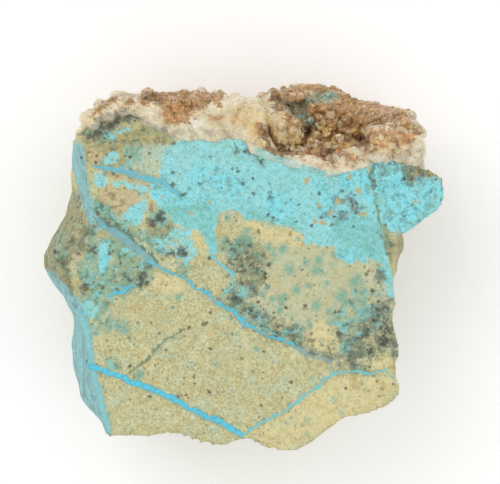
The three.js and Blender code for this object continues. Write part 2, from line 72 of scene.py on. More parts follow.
# Heights in millimetres: above a shoulder the drawn films show, and lower down the stone is broken
# and dusty. The edge is the top of the rock's sides.
SHOULDER = 17.0
RIND_SHOULDER = 16.0
EDGE = 20.5

# How far pieces are pushed in millimetres: into each other at the joint, and out to their outline.
ROCK_INTO_RIND = 0.7
RIND_INTO_ROCK = 0.45
OUTLINE_PUSH = 0.7
CROWN_PUSH = 0.55

# The rock's side under the rind starts at these places, upwards on the face and in height.
HIDDEN_UP = 11
HIDDEN_HEIGHT = 3

# A film's cover where it is bare, and its chance on the sides where none is given.
BARE = -3.0
RARE = -2.5

# A turn in radians, and a distance beyond everything.
FULL_TURN = 6.28
FAR = 1e9


def srgb(red, green, blue):
    """A colour on a 0 to 255 scale, as the linear values that shaders use."""
    shares = [value / 255 for value in (red, green, blue)]
    return tuple(s / 12.92 if s <= 0.04045 else ((s + 0.055) / 1.055) ** 2.4 for s in shares)


# ------------------------------------------------------------------ where the stains and veins lie
# Each film is a list of kinds of stain: (how far edges fray, how solid the middle is, outlines).
FILMS = {
    "turquoise": [
        (0.25, 1.6, [
            [(-9, 16.1), (-7.5, 16.4), (-6.1, 16.4), (-4.8, 16.5), (-4.3, 16.8), (-3, 16.8),
             (-1.4, 16.3), (-0.4, 16.4), (0.3, 16.9), (0.8, 16.5), (0.8, 15.5), (2, 14.8),
             (2.6, 14.3), (3.8, 14), (5.1, 13.9), (6.1, 13.5), (7.4, 13.1), (8.2, 12.6),
             (9.9, 12.4), (11.1, 12), (12.1, 11.6), (13.3, 12.1), (13.9, 12.7), (14.7, 12.9),
             (16, 13.1), (16.5, 11.4), (17, 9.6), (17.6, 7.5), (17.8, 6), (18.2, 4), (18.6, 1.8),
             (19.1, -0.3), (19, -1.6), (18.3, -0.8), (17.8, 0.3), (17.2, 0.8), (16.4, 0.9),
             (15.9, 0.4), (14.8, 1), (13.9, 0.3), (12.9, 0.8), (12.1, 1.3), (12.2, 2.2),
             (11.7, 2.7), (10.4, 2.5), (9.5, 2.7), (8.7, 3.4), (8.2, 3.3), (7.8, 4.2), (7, 4.8),
             (5.5, 5.2), (4.2, 5.6), (3.3, 5.9), (2.9, 6.2), (1.7, 6), (0.4, 6), (-0.4, 6.9),
             (-1.4, 7.4), (-2.2, 7.3), (-3.1, 6.9), (-3.5, 6), (-3.6, 4.4), (-3.4, 2.7),
             (-3.4, 1.8), (-3.9, 0.9), (-4.3, 1.8), (-4.7, 2.9), (-5.2, 3.9), (-5.9, 4.8),
             (-6.9, 4.8), (-8.2, 5.2), (-9.1, 5.7), (-9.5, 6.5), (-10.1, 7.2), (-11, 7.8),
             (-11.8, 8.6), (-12.1, 9.6), (-11.7, 10.8), (-10.7, 11.2), (-10.8, 12.2), (-10.7, 13.8),
             (-10.1, 15.1)],
            [(16.4, 11.7), (16.8, 13.4), (18.1, 13.7), (19.8, 13.7), (20.5, 13), (20.9, 11.4),
             (22, 10.7), (23, 11.7), (24.6, 11.3), (26.4, 10.7), (26.3, 9.1), (25.6, 7.4),
             (24.3, 6.2), (23, 5.2), (22, 4.6), (20.9, 4.2), (19.8, 4.3), (18.9, 4.9), (18.1, 6),
             (17.4, 7.9), (16.9, 9.9)],
            [(-16.2, 6.4), (-14.7, 7.7), (-12.7, 8.8), (-12.3, 7.9), (-12.9, 6.8), (-13.4, 5.5),
             (-14.2, 5.1), (-14.8, 5.9), (-15.7, 5.9)],
            [(-18.5, 3), (-17.4, 3.1), (-17.5, 2.1), (-17.7, 0.5), (-17.8, -0.8), (-18.7, -1),
             (-18.8, 0.5), (-18.7, 2.1)]]),
        (0.3, 0.35, [
            [(-6.9, 4.8), (-6.5, 3.1), (-6, 1.4), (-6.9, 0.7), (-7.4, -0.3), (-7.8, 0.9),
             (-9.2, 1.3), (-10.8, 1.6), (-11.7, 2.2), (-11.3, 3.4), (-10.1, 3.5), (-9.5, 4.4),
             (-8.2, 5.2)]]),
        (0.3, 0.6, [
            [(-19.4, 12.2), (-17.8, 12), (-17.7, 10.9), (-18.2, 10.1), (-19, 10.4), (-19.5, 11.2)],
            [(-18.2, 13.8), (-17.8, 14.4), (-17, 15), (-16.2, 14.7), (-16.4, 13.5), (-17, 13.1),
             (-17.9, 13.1)]]),
        (0.3, 0.25, [
            [(-16.9, 10.8), (-15.3, 11.1), (-13.9, 10.7), (-12.7, 10.3), (-12.2, 9.1), (-13.4, 9),
             (-14.3, 10), (-15.5, 10.4), (-16.8, 10.3)]]),
        (0.35, 0.4, [
            [(-18.1, 17.3), (-16.5, 17.6), (-16.2, 16.8), (-17.3, 16.4), (-17.9, 16.6)],
            [(-16.1, 18.1), (-14.7, 17.9), (-14.9, 17.4), (-16, 17.3)]]),
        (0.3, 0.5, [
            [(-21.3, -4.8), (-19.9, -4.5), (-19.1, -5.1), (-18.8, -6), (-19.6, -6.8), (-20.7, -6.5),
             (-21.3, -5.6)]]),
        (0.2, 1, [
            [(-15.7, 2.3), (-14.7, 2.3), (-14.7, 1.8), (-15.5, 1.8)]]),
        (0.3, 0.3, [
            [(18.2, 0.5), (19.2, -0.5), (19.6, -2.5), (19.9, -4.4), (19.2, -4.4), (18.6, -2.5),
             (17.7, -0.8)]]),
    ],
    "bright": [
        (0.5, 0.9, [
            [(3.3, 9.9), (5.1, 9.8), (6.4, 8.1), (6.2, 6.1), (4.6, 5.7), (3.3, 6.9)],
            [(-11.8, 10.7), (-10.8, 10.4), (-10, 9.2), (-9.2, 9), (-8.5, 8.6), (-9, 8.1),
             (-10.1, 8.3), (-11.2, 8.5), (-12, 9.4)],
            [(17.3, 8.2), (18.5, 8.8), (20.4, 9.2), (21.7, 8.8), (22, 7.3), (21.5, 5.3),
             (20.4, 4.6), (19.4, 4.9), (18.5, 6), (17.7, 6.8)],
            [(19.5, 13.5), (20.5, 13), (20.9, 11.4), (20.7, 9.9), (19.5, 9.4), (18.6, 10.1),
             (18.9, 12.2)],
            [(9.8, 11.4), (11.7, 10.4), (12.1, 8.6), (11.4, 7), (10.5, 5.7), (9.8, 6.8), (10, 8.8)],
            [(12.4, 11.7), (13.9, 12.6), (15.9, 12.6), (16.6, 10.7), (16.8, 8.6), (15.5, 9.1),
             (13.9, 9.6), (12.7, 9.9)],
            [(12.7, 7.3), (14.2, 7.2), (14.7, 6.5), (13.4, 6.1)],
            [(14.3, 2.1), (15.2, 1.6), (16.3, 0.7), (15.7, 0.3), (14.8, 0.9), (13.8, 0.1),
             (13, 0.7), (12.2, 1.7), (12.7, 2.1), (13.5, 0.9)],
            [(8.1, 3.9), (8.6, 4.2), (9.1, 3.4), (8.3, 2.9)],
            [(-5.3, 8.8), (-3.9, 8.1), (-3.9, 6.8), (-4.8, 7)],
            [(-8.5, 9.4), (-7.3, 9), (-6.8, 7.9), (-7.7, 7.9)],
            [(-18.5, 1.3), (-17.5, 1.4), (-17.5, -0.5), (-18.5, -0.6)]]),
        (1, 0.4, [
            [(17, 12), (18, 13.5), (20.5, 12.8), (22, 10.6), (25.6, 11), (26, 8.6), (22.4, 5),
             (19.4, 4.8), (17.6, 7.8)]]),
        (1, 0.2, [
            [(-6.9, 12.5), (-3.6, 13.1), (-0.4, 11.7), (0.9, 9.9), (-0.4, 8.6), (-2.3, 9.1),
             (-4.9, 10.4), (-6.9, 11.2)]]),
    ],
    "teal": [
        (0.6, 0.8, [
            [(-10.8, 8.1), (-8.8, 8.6), (-6.2, 8.6), (-4.9, 9.1), (-3.4, 8.2), (-3.5, 6.6),
             (-3.8, 4), (-3.4, 1.8), (-4.2, 1.3), (-4.9, 3.4), (-5.9, 4.9), (-7.5, 5.2), (-9.2, 6),
             (-10.1, 7)],
            [(12, 6.1), (13.9, 6.8), (15.9, 6.8), (17.3, 6.2), (17.9, 4), (18.3, 1.8), (18.9, 0),
             (17.2, 0.8), (16.3, 1), (14.6, 1), (13.3, 1.3), (12.4, 2.3), (11.7, 4.2)],
            [(-0.4, 7.5), (1.7, 7.3), (4.2, 6.8), (6.9, 6), (7.4, 4.4), (5.5, 5.1), (3.3, 5.7),
             (0.4, 5.9)],
            [(17.6, 0.5), (18.6, 0), (19.4, -2.3), (18.6, -2.6), (17.8, -1.3)],
            [(-12.1, 6.6), (-10.8, 7.7), (-9.5, 6.8), (-9, 5.7), (-10.1, 5.2), (-11.4, 5.2)],
            [(12.1, -6.8), (13.3, -6.1), (13.5, -7.7), (13, -8.5), (12.2, -8.3)],
            [(15, -6), (16, -5.5), (16.3, -7), (15.7, -7.8), (14.8, -7.3)],
            [(12.4, -10.3), (13.5, -10), (14.2, -10.9), (13.7, -11.7), (12.6, -11.2)],
            [(-17.7, -12.2), (-16.8, -12.3), (-16.1, -13.5), (-16.9, -13.5), (-17.5, -13)]]),
        (0.6, 0.6, [
            [(-19.4, 8.4), (-18.6, 8.2), (-17, 6.8), (-15.7, 5.8), (-14, 5.7), (-15.3, 4.9),
             (-17.9, 5.7), (-19.2, 6.8)]]),
    ],
    "olive": [
        (0.5, 0.8, [
            [(-20.9, 17.9), (-19.2, 18.3), (-18.1, 18.9), (-17, 20), (-16.1, 20.9), (-14.9, 20.5),
             (-13.8, 19.6), (-12.1, 18.7), (-10.8, 18.2), (-10, 17.6), (-9.2, 16.9), (-9, 16.3),
             (-9.7, 15.5), (-12.1, 15.3), (-14, 15.1), (-14.9, 14), (-16, 13), (-17.3, 13),
             (-18.8, 13.4), (-20.2, 13.8), (-20.7, 15.7)],
            [(17.6, 5.9), (18.6, 6.1), (19.5, 5.3), (19.2, 3.9), (19.9, 2.1), (19.4, 0.5),
             (18.6, 1), (18.1, 3.4)],
            [(-19.1, 8.6), (-17.8, 8.5), (-16.9, 7.5), (-17.3, 6.9), (-18.8, 7.5)],
            [(-25.9, 1), (-24.3, 2.1), (-23, 1), (-22.5, -1.2), (-22.2, -3.1), (-23.5, -2.3),
             (-24.8, -0.5)],
            [(-9.5, 5.7), (-8.7, 4.7), (-9.2, 3.6), (-10.4, 2.6), (-11.8, 2.5), (-13.1, 3.4),
             (-12.6, 4.7), (-11, 5.2)],
            [(11.3, 12.2), (12.9, 12.7), (13.9, 12.5), (13.3, 12), (12.1, 11.6)]]),
        (0.8, 0.3, [
            [(-0.9, 2.5), (0.9, 2.7), (2.5, 2.1), (3, 0.5), (2.7, -1.6), (1.6, -2.6), (0.5, -3.9),
             (-0.4, -5.2), (-1.2, -4.4), (-0.4, -2.3), (0.4, -0.8), (-0.4, 0.5)]]),
    ],
    "ochre": [
        (0.35, 0.9, [
            [(-16.8, 19), (-15.3, 19.4), (-13.4, 19.2), (-13, 18.5), (-14, 17.8), (-16, 18.1)],
            [(-15.9, 17), (-14.7, 17.3), (-14.3, 16.3), (-15.2, 15.3), (-15.9, 14), (-16.1, 12.7),
             (-16.5, 13), (-16.4, 15.1)],
            [(-20.7, 16.6), (-19.6, 16.6), (-19, 15.1), (-17.9, 14.8), (-18.6, 13.8), (-20.2, 14)],
            [(-18.7, 4.9), (-17.7, 4.8), (-17.7, 3.9), (-18.7, 3.9)],
            [(-13.8, 16.8), (-10.8, 16.8), (-9.1, 16.5), (-10.1, 15.7), (-12.1, 15.5),
             (-13.6, 15.7)],
            [(17.7, -15.2), (18.6, -15.1), (18.7, -16.1), (17.8, -16.2)],
            [(13.8, -14), (14.8, -14), (14.8, -15.3), (15.1, -16.2), (14.2, -16.1)],
            [(-22.1, -1.9), (-21.1, -1.8), (-20.8, -3.4), (-21.3, -4.5), (-22, -4)],
            [(-3.5, 6.4), (-2.7, 6.8), (-2.7, 4.4), (-2.3, 3.4), (-3.1, 3.4), (-3.5, 4.7)],
            [(18.9, -12.7), (19.8, -12.7), (19.8, -14), (19.1, -13.9)]]),
    ],
    "peach": [
        (0.35, 1.1, [
            [(-19, 9.9), (-18.2, 10.7), (-17.3, 10.5), (-16.2, 9.9), (-14.9, 9.9), (-13.3, 9.9),
             (-12.6, 9.4), (-13.4, 8.6), (-14.7, 7.7), (-16.2, 6.4), (-16.9, 7), (-17.2, 7.9),
             (-18.5, 8.6)],
            [(-19.2, 12.6), (-17, 12.1), (-15.3, 11.6), (-13.4, 11.1), (-12.1, 10.8), (-12.1, 10.1),
             (-13.1, 10.5), (-14.7, 10.9), (-16.2, 11.2), (-18.1, 11.8)],
            [(-12.3, 9), (-11.6, 8.2), (-10.8, 7.2), (-11.8, 6.8), (-12.5, 7.5)],
            [(-23, 4.4), (-21.7, 5.2), (-19.9, 4.9), (-19.6, 3.4), (-20.7, 1.3), (-21.7, 0.3),
             (-22.5, 1.3), (-23, 2.9)],
            [(-20.5, 15.1), (-18.6, 15.3), (-18.2, 14), (-19, 13.4), (-20.3, 13.5)],
            [(13.4, 5.9), (14.2, 8.2), (14.7, 7.3), (13.9, 6.8)],
            [(20, 4.8), (20.9, 4.3), (21.3, 3.1), (21.2, 1.4), (20.9, 0.4), (20.3, -0.5),
             (19.9, 0.5), (19.9, 2.7)]]),
    ],
    "green": [
        (0.7, 0.6, [
            [(-21.4, 4.6), (-19.6, 5.3), (-18.6, 3.4), (-17.5, 3.6), (-16, 3.4), (-14, 2.3),
             (-12.3, 0.5), (-11.8, -0.3), (-12.3, -1.6), (-13.6, -2.9), (-14.9, -3.5),
             (-16.6, -4.2), (-17.5, -5.1), (-18.6, -7.3), (-19.6, -7.3), (-20.4, -6), (-20.9, -4.4),
             (-21.2, -2.5), (-21.4, -0.5), (-21.6, 2)],
            [(-19.1, 7.3), (-17.8, 7.5), (-16.2, 6.1), (-14.9, 5.2), (-13.4, 4.4), (-12.1, 3.4),
             (-13.1, 3.1), (-15.3, 4.3), (-17, 5.2), (-18.8, 5.5)],
            [(-1.9, -3.4), (-0.8, -2.3), (0.7, -2.6), (1.4, -3.6), (0.5, -4.7), (2, -5.6), (3, -7),
             (4.3, -8.1), (6.1, -8.3), (7.4, -7.8), (8.1, -8.3), (6.9, -9.7), (5.1, -9.4),
             (3, -8.6), (0.8, -7), (-0.5, -6.1), (-1.7, -5.2)],
            [(-8.2, 0.5), (-7.1, 0.3), (-6.9, -0.6), (-7.7, -1.3), (-8.3, -0.6)],
            [(-17.5, -12.5), (-16.4, -12.2), (-16.2, -13.5), (-17.3, -13.3)],
            [(-15.7, 15.3), (-14.2, 16.1), (-13.4, 15.1), (-13.9, 13.3), (-14.9, 12.5),
             (-15.5, 13.8)],
            [(-19.9, -7.7), (-18.6, -7.3), (-17, -6.8), (-15.3, -7.3), (-14.3, -8.1), (-14.9, -8.8),
             (-16.6, -8.3), (-18.3, -8.3), (-19.6, -8.7)],
            [(-3.8, 3), (-2.2, 3.4), (-0.4, 2.6), (-1.7, 1.8), (-3.2, 2.1)],
            [(-12.1, 3.4), (-10.4, 3.9), (-8.8, 4.7), (-9.5, 3.4), (-10.8, 2.5)]]),
        (1, 0.1, [
            [(12.4, -6), (13.3, -4.8), (14.6, -3.9), (16.5, -4.2), (18.5, -3.9), (18.4, -6),
             (16.6, -8), (14.7, -9.4), (13.3, -10.3), (12.6, -8.7)]]),
        (0.9, -0.2, [
            [(-23.8, 4.4), (-22, 5.2), (-20.7, 4.4), (-21.4, 2.9), (-23.3, 1.8), (-24.3, 2.3)]]),
    ],
    "soot": [
        (0.4, 0.5, [
            [(-16.2, 20.5), (-14.8, 20.4), (-14.2, 19.4), (-15.1, 19.1), (-16.1, 19.4)],
            [(0.2, 15.8), (1.4, 15.2), (2.6, 14.2), (3, 13.4), (1.6, 13.9), (0.4, 14.7)]]),
        (0.35, 0.6, [
            [(-18.1, 18.9), (-17, 19.1), (-16.5, 18.1), (-17, 17.6), (-17.8, 17.9)],
            [(-19.2, 17.7), (-18.3, 17.4), (-18.5, 16.4), (-19.2, 16.5)],
            [(-10.5, 7.3), (-10.4, 6.9), (-11.3, 6.1), (-11.6, 5.1), (-12.1, 5.1), (-12.2, 5.7),
             (-11.8, 6.5), (-11.2, 7)],
            [(-10.9, 6.4), (-10.3, 6.1), (-10.4, 5.5), (-11, 5.7)],
            [(-13.1, -0.1), (-11.8, 0.3), (-12.2, -0.9), (-12.6, -2.1), (-13.3, -3), (-13.8, -2.6),
             (-14.3, -1.9), (-14.2, -1.3), (-13.3, -1.3)],
            [(-20.9, -2.3), (-20.2, -2.3), (-20.2, -4), (-20.8, -4)],
            [(20.4, 13.4), (21.5, 13.1), (22.5, 12.5), (23.3, 12), (22.8, 11.4), (22, 11.4),
             (21.3, 10.9), (20.8, 11.7)],
            [(20.9, 10.8), (22, 10.9), (22.5, 10.5), (22.2, 10.1), (21.5, 10.3)],
            [(10.9, -11.4), (12.1, -11.7), (12.2, -12.3), (11.2, -12.3)],
            [(17.8, -0.3), (18.9, -0.8), (18.6, -1.8), (17.8, -2.6), (17.3, -1.8)],
            [(13.8, 8.1), (14.8, 8.3), (15, 7.5), (14, 7.4)],
            [(5.6, -7.9), (6.8, -7.7), (7, -8.6), (6.1, -9.1), (5.3, -8.7)],
            [(-19.9, 2.7), (-19.1, 3), (-19.2, 1.8), (-19.9, 1.6)]]),
        (0.5, 0.2, [
            [(-20.9, 18.2), (-19.1, 18.6), (-18.8, 17.7), (-20.2, 17.2), (-20.9, 17.3)],
            [(10.6, 6.6), (12, 8.9), (13.8, 9.2), (15, 7.6), (14, 6.4), (12, 5.6)]]),
        (0.3, 0.4, [
            [(-11.3, 2.2), (-10.4, 2.3), (-9.5, 1.8), (-8.7, 1.7), (-8.2, 2.5), (-7.4, 2.5),
             (-7.1, 1.8), (-7.7, 1.2), (-8.5, 1.2), (-9.5, 1.4), (-10.8, 1.6)]]),
        (0.8, 0, [
            [(17.2, 13.8), (18.3, 13.5), (18.9, 11.8), (18.7, 10.4), (17.8, 9.9), (17.2, 10.8),
             (16.8, 12.2)]]),
        (0.6, 0.45, [
            [(12.5, -10.4), (13.5, -10.1), (14.3, -10.9), (14.7, -12.2), (16.1, -12.3),
             (16.8, -13.1), (15.9, -13.6), (14.2, -13.4), (13.3, -12.5), (12.1, -12),
             (12.2, -11.2)]]),
        (0.5, 0.7, [
            [(16.8, -5.6), (17.8, -5.9), (18.2, -7), (17.8, -7.9), (16.9, -7.8), (16.4, -7)]]),
        (0.6, 0.3, [
            [(15.3, -9.6), (17.2, -9.1), (18.5, -9.5), (20, -10.1), (20.2, -11.2), (19.1, -11.4),
             (17.8, -10.8), (16.5, -10.7), (15.5, -10.4)]]),
        (0.9, 0.35, [
            [(-1.6, 0.6), (-0.2, 2.8), (2, 1.6), (2.6, -1), (1.6, -3.4), (0.4, -4.6), (-0.8, -3.2),
             (-0.6, -1.4)]]),
        (0.8, 0.4, [
            [(-1.3, -2.6), (0.2, -4.4), (2.6, -6.3), (5, -7.6), (7.6, -9), (10, -10.6),
             (12.4, -12.2), (9.6, -11.8), (6.4, -10.3), (3, -8.8), (0.6, -7.2), (-1.6, -5.4)]]),
        (0.9, 0.4, [
            [(12.4, -9.2), (13.8, -8), (15.4, -6.8), (17.4, -4.6), (19.2, -4.8), (19.6, -7),
             (20, -11.4), (18, -10.8), (16.8, -12.9), (14.6, -13.6), (12.4, -12.6)]]),
        (0.6, 0.55, [
            [(-20.8, 18.1), (-18.6, 18.9), (-16.6, 20.6), (-14.4, 20.4), (-13.2, 19.4),
             (-15.4, 18.7), (-17, 17.7), (-18.6, 16.4), (-20.4, 16.6)]]),
        (0.5, 0.5, [
            [(18.6, 13.7), (20.4, 13.6), (22.8, 12.4), (23.6, 11.6), (21.6, 10.2), (20.2, 11.6)]]),
        (0.3, 0.3, [
            [(-19.2, 6.3), (-17.4, 5.6), (-15.4, 4.7), (-13.6, 3.6), (-15.2, 4), (-17.6, 5),
             (-19.2, 5.4)]]),
    ],
    "pale": [
        (0.8, 0.5, [
            [(1.4, -21.7), (5, -19.4), (8.4, -16.8), (10.6, -15), (12, -14.4), (19.2, -14.4),
             (19.8, -16), (18, -18), (8, -22.6), (5, -23.8), (2, -23)]]),
        (0.5, 1.2, [
            [(7.7, -9.6), (8.2, -8.3), (9.4, -7.4), (10.9, -7.3), (12.1, -8.1), (12.6, -9.4),
             (12.4, -10.7), (11.6, -11.4), (10.3, -11.6), (8.7, -10.9), (7.9, -10.4)],
            [(16.6, -11.7), (17.8, -11.2), (19.1, -11.8), (19.2, -13), (18.1, -13.5),
             (16.8, -13.1)],
            [(-6.6, 4.6), (-5.9, 4.7), (-5.1, 3.6), (-4.5, 2.6), (-4.7, 1.6), (-5.6, 2.1),
             (-6.4, 3.1)]]),
        (0.8, 0.7, [
            [(0.3, 5.7), (2.9, 6), (5.5, 4.8), (7.4, 4.3), (7.8, 3.4), (6.9, 2.5), (4.8, 2.6),
             (2.5, 3.4), (0.7, 4.4)]]),
        (0.8, 0.6, [
            [(-11.8, -1.6), (-10.1, -1.2), (-8.2, -1.8), (-7.5, -3.1), (-8.8, -3.9),
             (-10.8, -3.4)]]),
    ],
    "washed": [
        (0.8, 0.3, [
            [(-14.9, 15), (-12.7, 15.8), (-9.8, 15.6), (-10.4, 12.2), (-12.1, 11.8),
             (-14.6, 13.2)]]),
        (0.8, 0.8, [
            [(-9, 16.1), (-4.8, 16.5), (-1.4, 16.3), (0.8, 15.5), (2.6, 14.3), (0.9, 13.3),
             (-2.3, 13.8), (-4.9, 13.1), (-7.5, 11.7), (-9.7, 11.2), (-10.5, 12.7),
             (-10.1, 14.8)]]),
    ],
    "strip": [
        (0.4, 1.2, [
            [(-22.8, 15.8), (-21.2, 16.2), (-20.7, 15.4), (-20.5, 13.5), (-20.3, 12.3), (-20, 10),
             (-19.6, 8.2), (-19.2, 6.8), (-18.7, 5.2), (-18.9, 4.4), (-19.8, 5.2), (-20.6, 6.8),
             (-21.2, 8.4), (-21.6, 10), (-22.2, 12.4), (-23, 13)],
            [(-21.3, -4.4), (-20.4, -6), (-19.7, -9.6), (-19.5, -12.2), (-18.9, -15.5),
             (-18, -18.7), (-17.1, -21.8), (-18.2, -22), (-19.8, -20), (-21.2, -18.1),
             (-22.4, -14.8), (-23.2, -11.6), (-23.4, -10.3), (-22.9, -8.3), (-23.2, -6.4),
             (-23.9, -4.4), (-25.4, -2.9), (-26.3, -1.6), (-26.4, -0.3), (-24.8, -0.8),
             (-23.3, -2.3), (-22.2, -3.4)]]),
    ],
    "dust": [
        (0.7, 1, [
            [(-27, 1.2), (-25.4, 4), (-24.2, 6.4), (-23.2, 9), (-22.4, 10), (-21.4, 9.2),
             (-20.9, 7.6), (-20.2, 6), (-20.2, 4.6), (-21.4, 2.6), (-22.8, 1.2), (-23.4, -0.4),
             (-23, -2.4), (-24, -2.2), (-26.4, 0)]]),
        (0.4, 0.6, [
            [(20, 4.8), (20.9, 4.3), (21.3, 3.1), (21.2, 1.4), (20.9, 0.4), (20.3, -0.5),
             (20.2, 0.5), (20.2, 2.7)]]),
        (0.4, 1.2, [
            [(21.2, 13.6), (23.5, 13.2), (25.5, 11.8), (27.2, 10.2), (26.2, 10.2), (24.6, 11),
             (23, 11.5), (21.8, 12.2)]]),
        (0.5, 0.5, [
            [(-24, -5), (-23, -6), (-22.8, -9), (-22.6, -12), (-21.8, -16), (-20.4, -19),
             (-22, -20), (-24, -13)]]),
    ],
    "chalk": [
        (1.5, 0.5, [
            [(-0.6, 3.2), (4, 3.6), (9, 2.6), (14, 0.6), (18, -0.6), (19.4, -5), (16, -6.2),
             (12.4, -6.4), (8, -7.8), (3.8, -6.6), (1.4, -3.6), (2.6, -1), (2.2, 2)]]),
    ],
    "lilac": [
        (0.4, 1, [
            [(20, 4.8), (20.9, 4.3), (21.3, 3.1), (21.2, 1.4), (20.9, 0.4), (20.3, -0.5),
             (19.9, 0.5), (19.9, 2.7)]]),
    ],
}

# Veins as lines of points: (x, y, half width).
VEINS = {
    "blue": [
        [(-20.15, -12.87, 0.28), (-19.76, -13, 0.33), (-18.72, -13.39, 0.37),
         (-17.03, -14.04, 0.37), (-15.86, -14.24, 0.36), (-14.95, -14.95, 0.37),
         (-12.93, -15.6, 0.36), (-10.01, -16.77, 0.36), (-6.76, -18.65, 0.34),
         (-3.64, -20.02, 0.36), (-0.26, -21.84, 0.36)],
        [(-19.24, 6.24, 0.08), (-18.46, 5.46, 0.21), (-17.68, 4.94, 0.54), (-16.51, 4.29, 0.64),
         (-15.47, 3.51, 0.64), (-14.17, 2.73, 0.64), (-13.13, 1.95, 0.64), (-12.22, 1.04, 0.59),
         (-11.44, 0.33, 0.28), (-10.79, -0.26, 0.16), (-10.27, -0.57, 0.16), (-9.36, -0.87, 0.15),
         (-8.58, -1.17, 0.12), (-7.54, -1.56, 0.16), (-6.76, -2.34, 0.16), (-5.98, -2.95, 0.16),
         (-5.2, -3.16, 0.26), (-4.42, -3.72, 0.26), (-3.51, -4.68, 0.24), (-2.6, -5.28, 0.18),
         (-1.43, -5.85, 0.18), (-0.52, -6.58, 0.29), (0.26, -7.33, 0.59), (1.04, -7.8, 0.21),
         (1.95, -8.45, 0.15), (2.99, -8.97, 0.17), (4.29, -9.44, 0.17), (5.2, -9.68, 0.16),
         (6.76, -10.4, 0.12), (7.48, -11.05, 0.12), (8.58, -11.57, 0.12), (9.88, -11.96, 0.12),
         (11.31, -12.3, 0.08), (11.83, -12.61, 0.06)],
        [(-19.63, 13.13, 0.16), (-19.11, 13, 0.22), (-17.74, 12.61, 0.27), (-16.25, 12.35, 0.32),
         (-15.73, 12.68, 0.45), (-14.75, 12.12, 0.5), (-13.39, 11.62, 0.48), (-12.09, 11.22, 0.4),
         (-10.79, 11.05, 0.29), (-9.23, 10.14, 0.22), (-8.06, 8.97, 0.16)],
        [(-17.29, -3.9, 0.16), (-16.77, -3.25, 0.23), (-16.25, -3.38, 0.26), (-15.6, -3.44, 0.2),
         (-15.21, -2.99, 0.2), (-14.69, -2.66, 0.23), (-14.17, -2.47, 0.1)],
    ],
    "light": [
        [(-0.39, -22.23, 0.15), (0.91, -21.32, 0.15), (2.99, -20.02, 0.16), (4.81, -19.24, 0.14),
         (7.15, -17.62, 0.18), (8.41, -16.47, 0.16), (9.88, -15.68, 0.19), (10.4, -14.95, 0.18),
         (11.05, -14.38, 0.15), (11.83, -14.04, 0.16), (12.74, -13.91, 0.16), (13.91, -13.84, 0.06),
         (14.95, -13.78, 0.11), (15.86, -13.99, 0.13), (16.9, -14.04, 0.13), (17.81, -13.78, 0.1),
         (18.46, -13.39, 0.13), (18.85, -13.91, 0.09), (19.55, -14.48, 0.15)],
        [(-4.16, 1.17, 0.12), (-3.25, 0.52, 0.14), (-2.34, -0.26, 0.18), (-1.47, -0.99, 0.25),
         (-1.04, -1.43, 0.19), (-1.35, -1.95, 0.16), (-1.47, -2.6, 0.12), (-1.95, -3.12, 0.16),
         (-2.41, -3.31, 0.19), (-2.73, -3.9, 0.06), (-2.6, -4.42, 0.06)],
        [(2.08, -7.93, 0.05), (2.99, -8.32, 0.08), (3.77, -8.58, 0.08), (4.94, -9.19, 0.06)],
        [(11.15, -14.3, 0.03), (11.2, -13.5, 0.06), (11.4, -12.8, 0.03)],
        [(-21.3, -5.98, 0.3), (-20.91, -6.76, 0.36), (-20.39, -8.32, 0.41), (-20, -10.27, 0.41),
         (-19.74, -12.22, 0.39), (-19.22, -14.82, 0.36), (-18.57, -17.42, 0.39),
         (-17.92, -20.02, 0.41), (-17.4, -21.71, 0.28)],
    ],
    "dark": [
        [(-15.08, -14.04, 0.14), (-13.78, -13.13, 0.16), (-12.35, -11.96, 0.18),
         (-11.18, -10.79, 0.17), (-10.27, -9.88, 0.13), (-8.97, -9.1, 0.12), (-7.67, -8.19, 0.07)],
        [(16.77, 11.57, 0.07), (17.03, 9.23, 0.08), (17.42, 7.67, 0.09), (17.68, 5.72, 0.08),
         (18.2, 3.38, 0.07), (18.72, 1.43, 0.04)],
        [(17.42, 13.91, 0.1), (17.16, 13.13, 0.13), (16.64, 11.96, 0.16), (16.38, 11.44, 0.1)],
        [(-1.04, 15.99, 0.08), (-0.78, 15.47, 0.16), (-0.26, 15.21, 0.12), (0.13, 14.95, 0.08)],
        [(-0.72, 15.41, 0.13), (-1.17, 14.69, 0.17)],
        [(0.39, 15.21, 0.1), (1.04, 14.82, 0.13), (1.56, 14.43, 0.09), (2.34, 13.52, 0.12)],
        [(-24.18, 1.82, 0.09), (-23.53, 0.78, 0.13), (-23.01, -0.78, 0.16), (-22.62, -2.34, 0.13),
         (-22.36, -3.9, 0.08)],
        [(-18.6, 6.3, 0.2), (-16.9, 5.33, 0.22), (-15.73, 4.68, 0.2), (-14.56, 3.64, 0.2),
         (-13.26, 2.73, 0.18), (-12.09, 1.56, 0.14), (-11.05, 0.39, 0.1)],
        [(-19.3, 5, 0.24), (-20.4, 4.1, 0.2), (-21.6, 2.5, 0.16), (-22.8, 1.3, 0.1)],
    ],
}

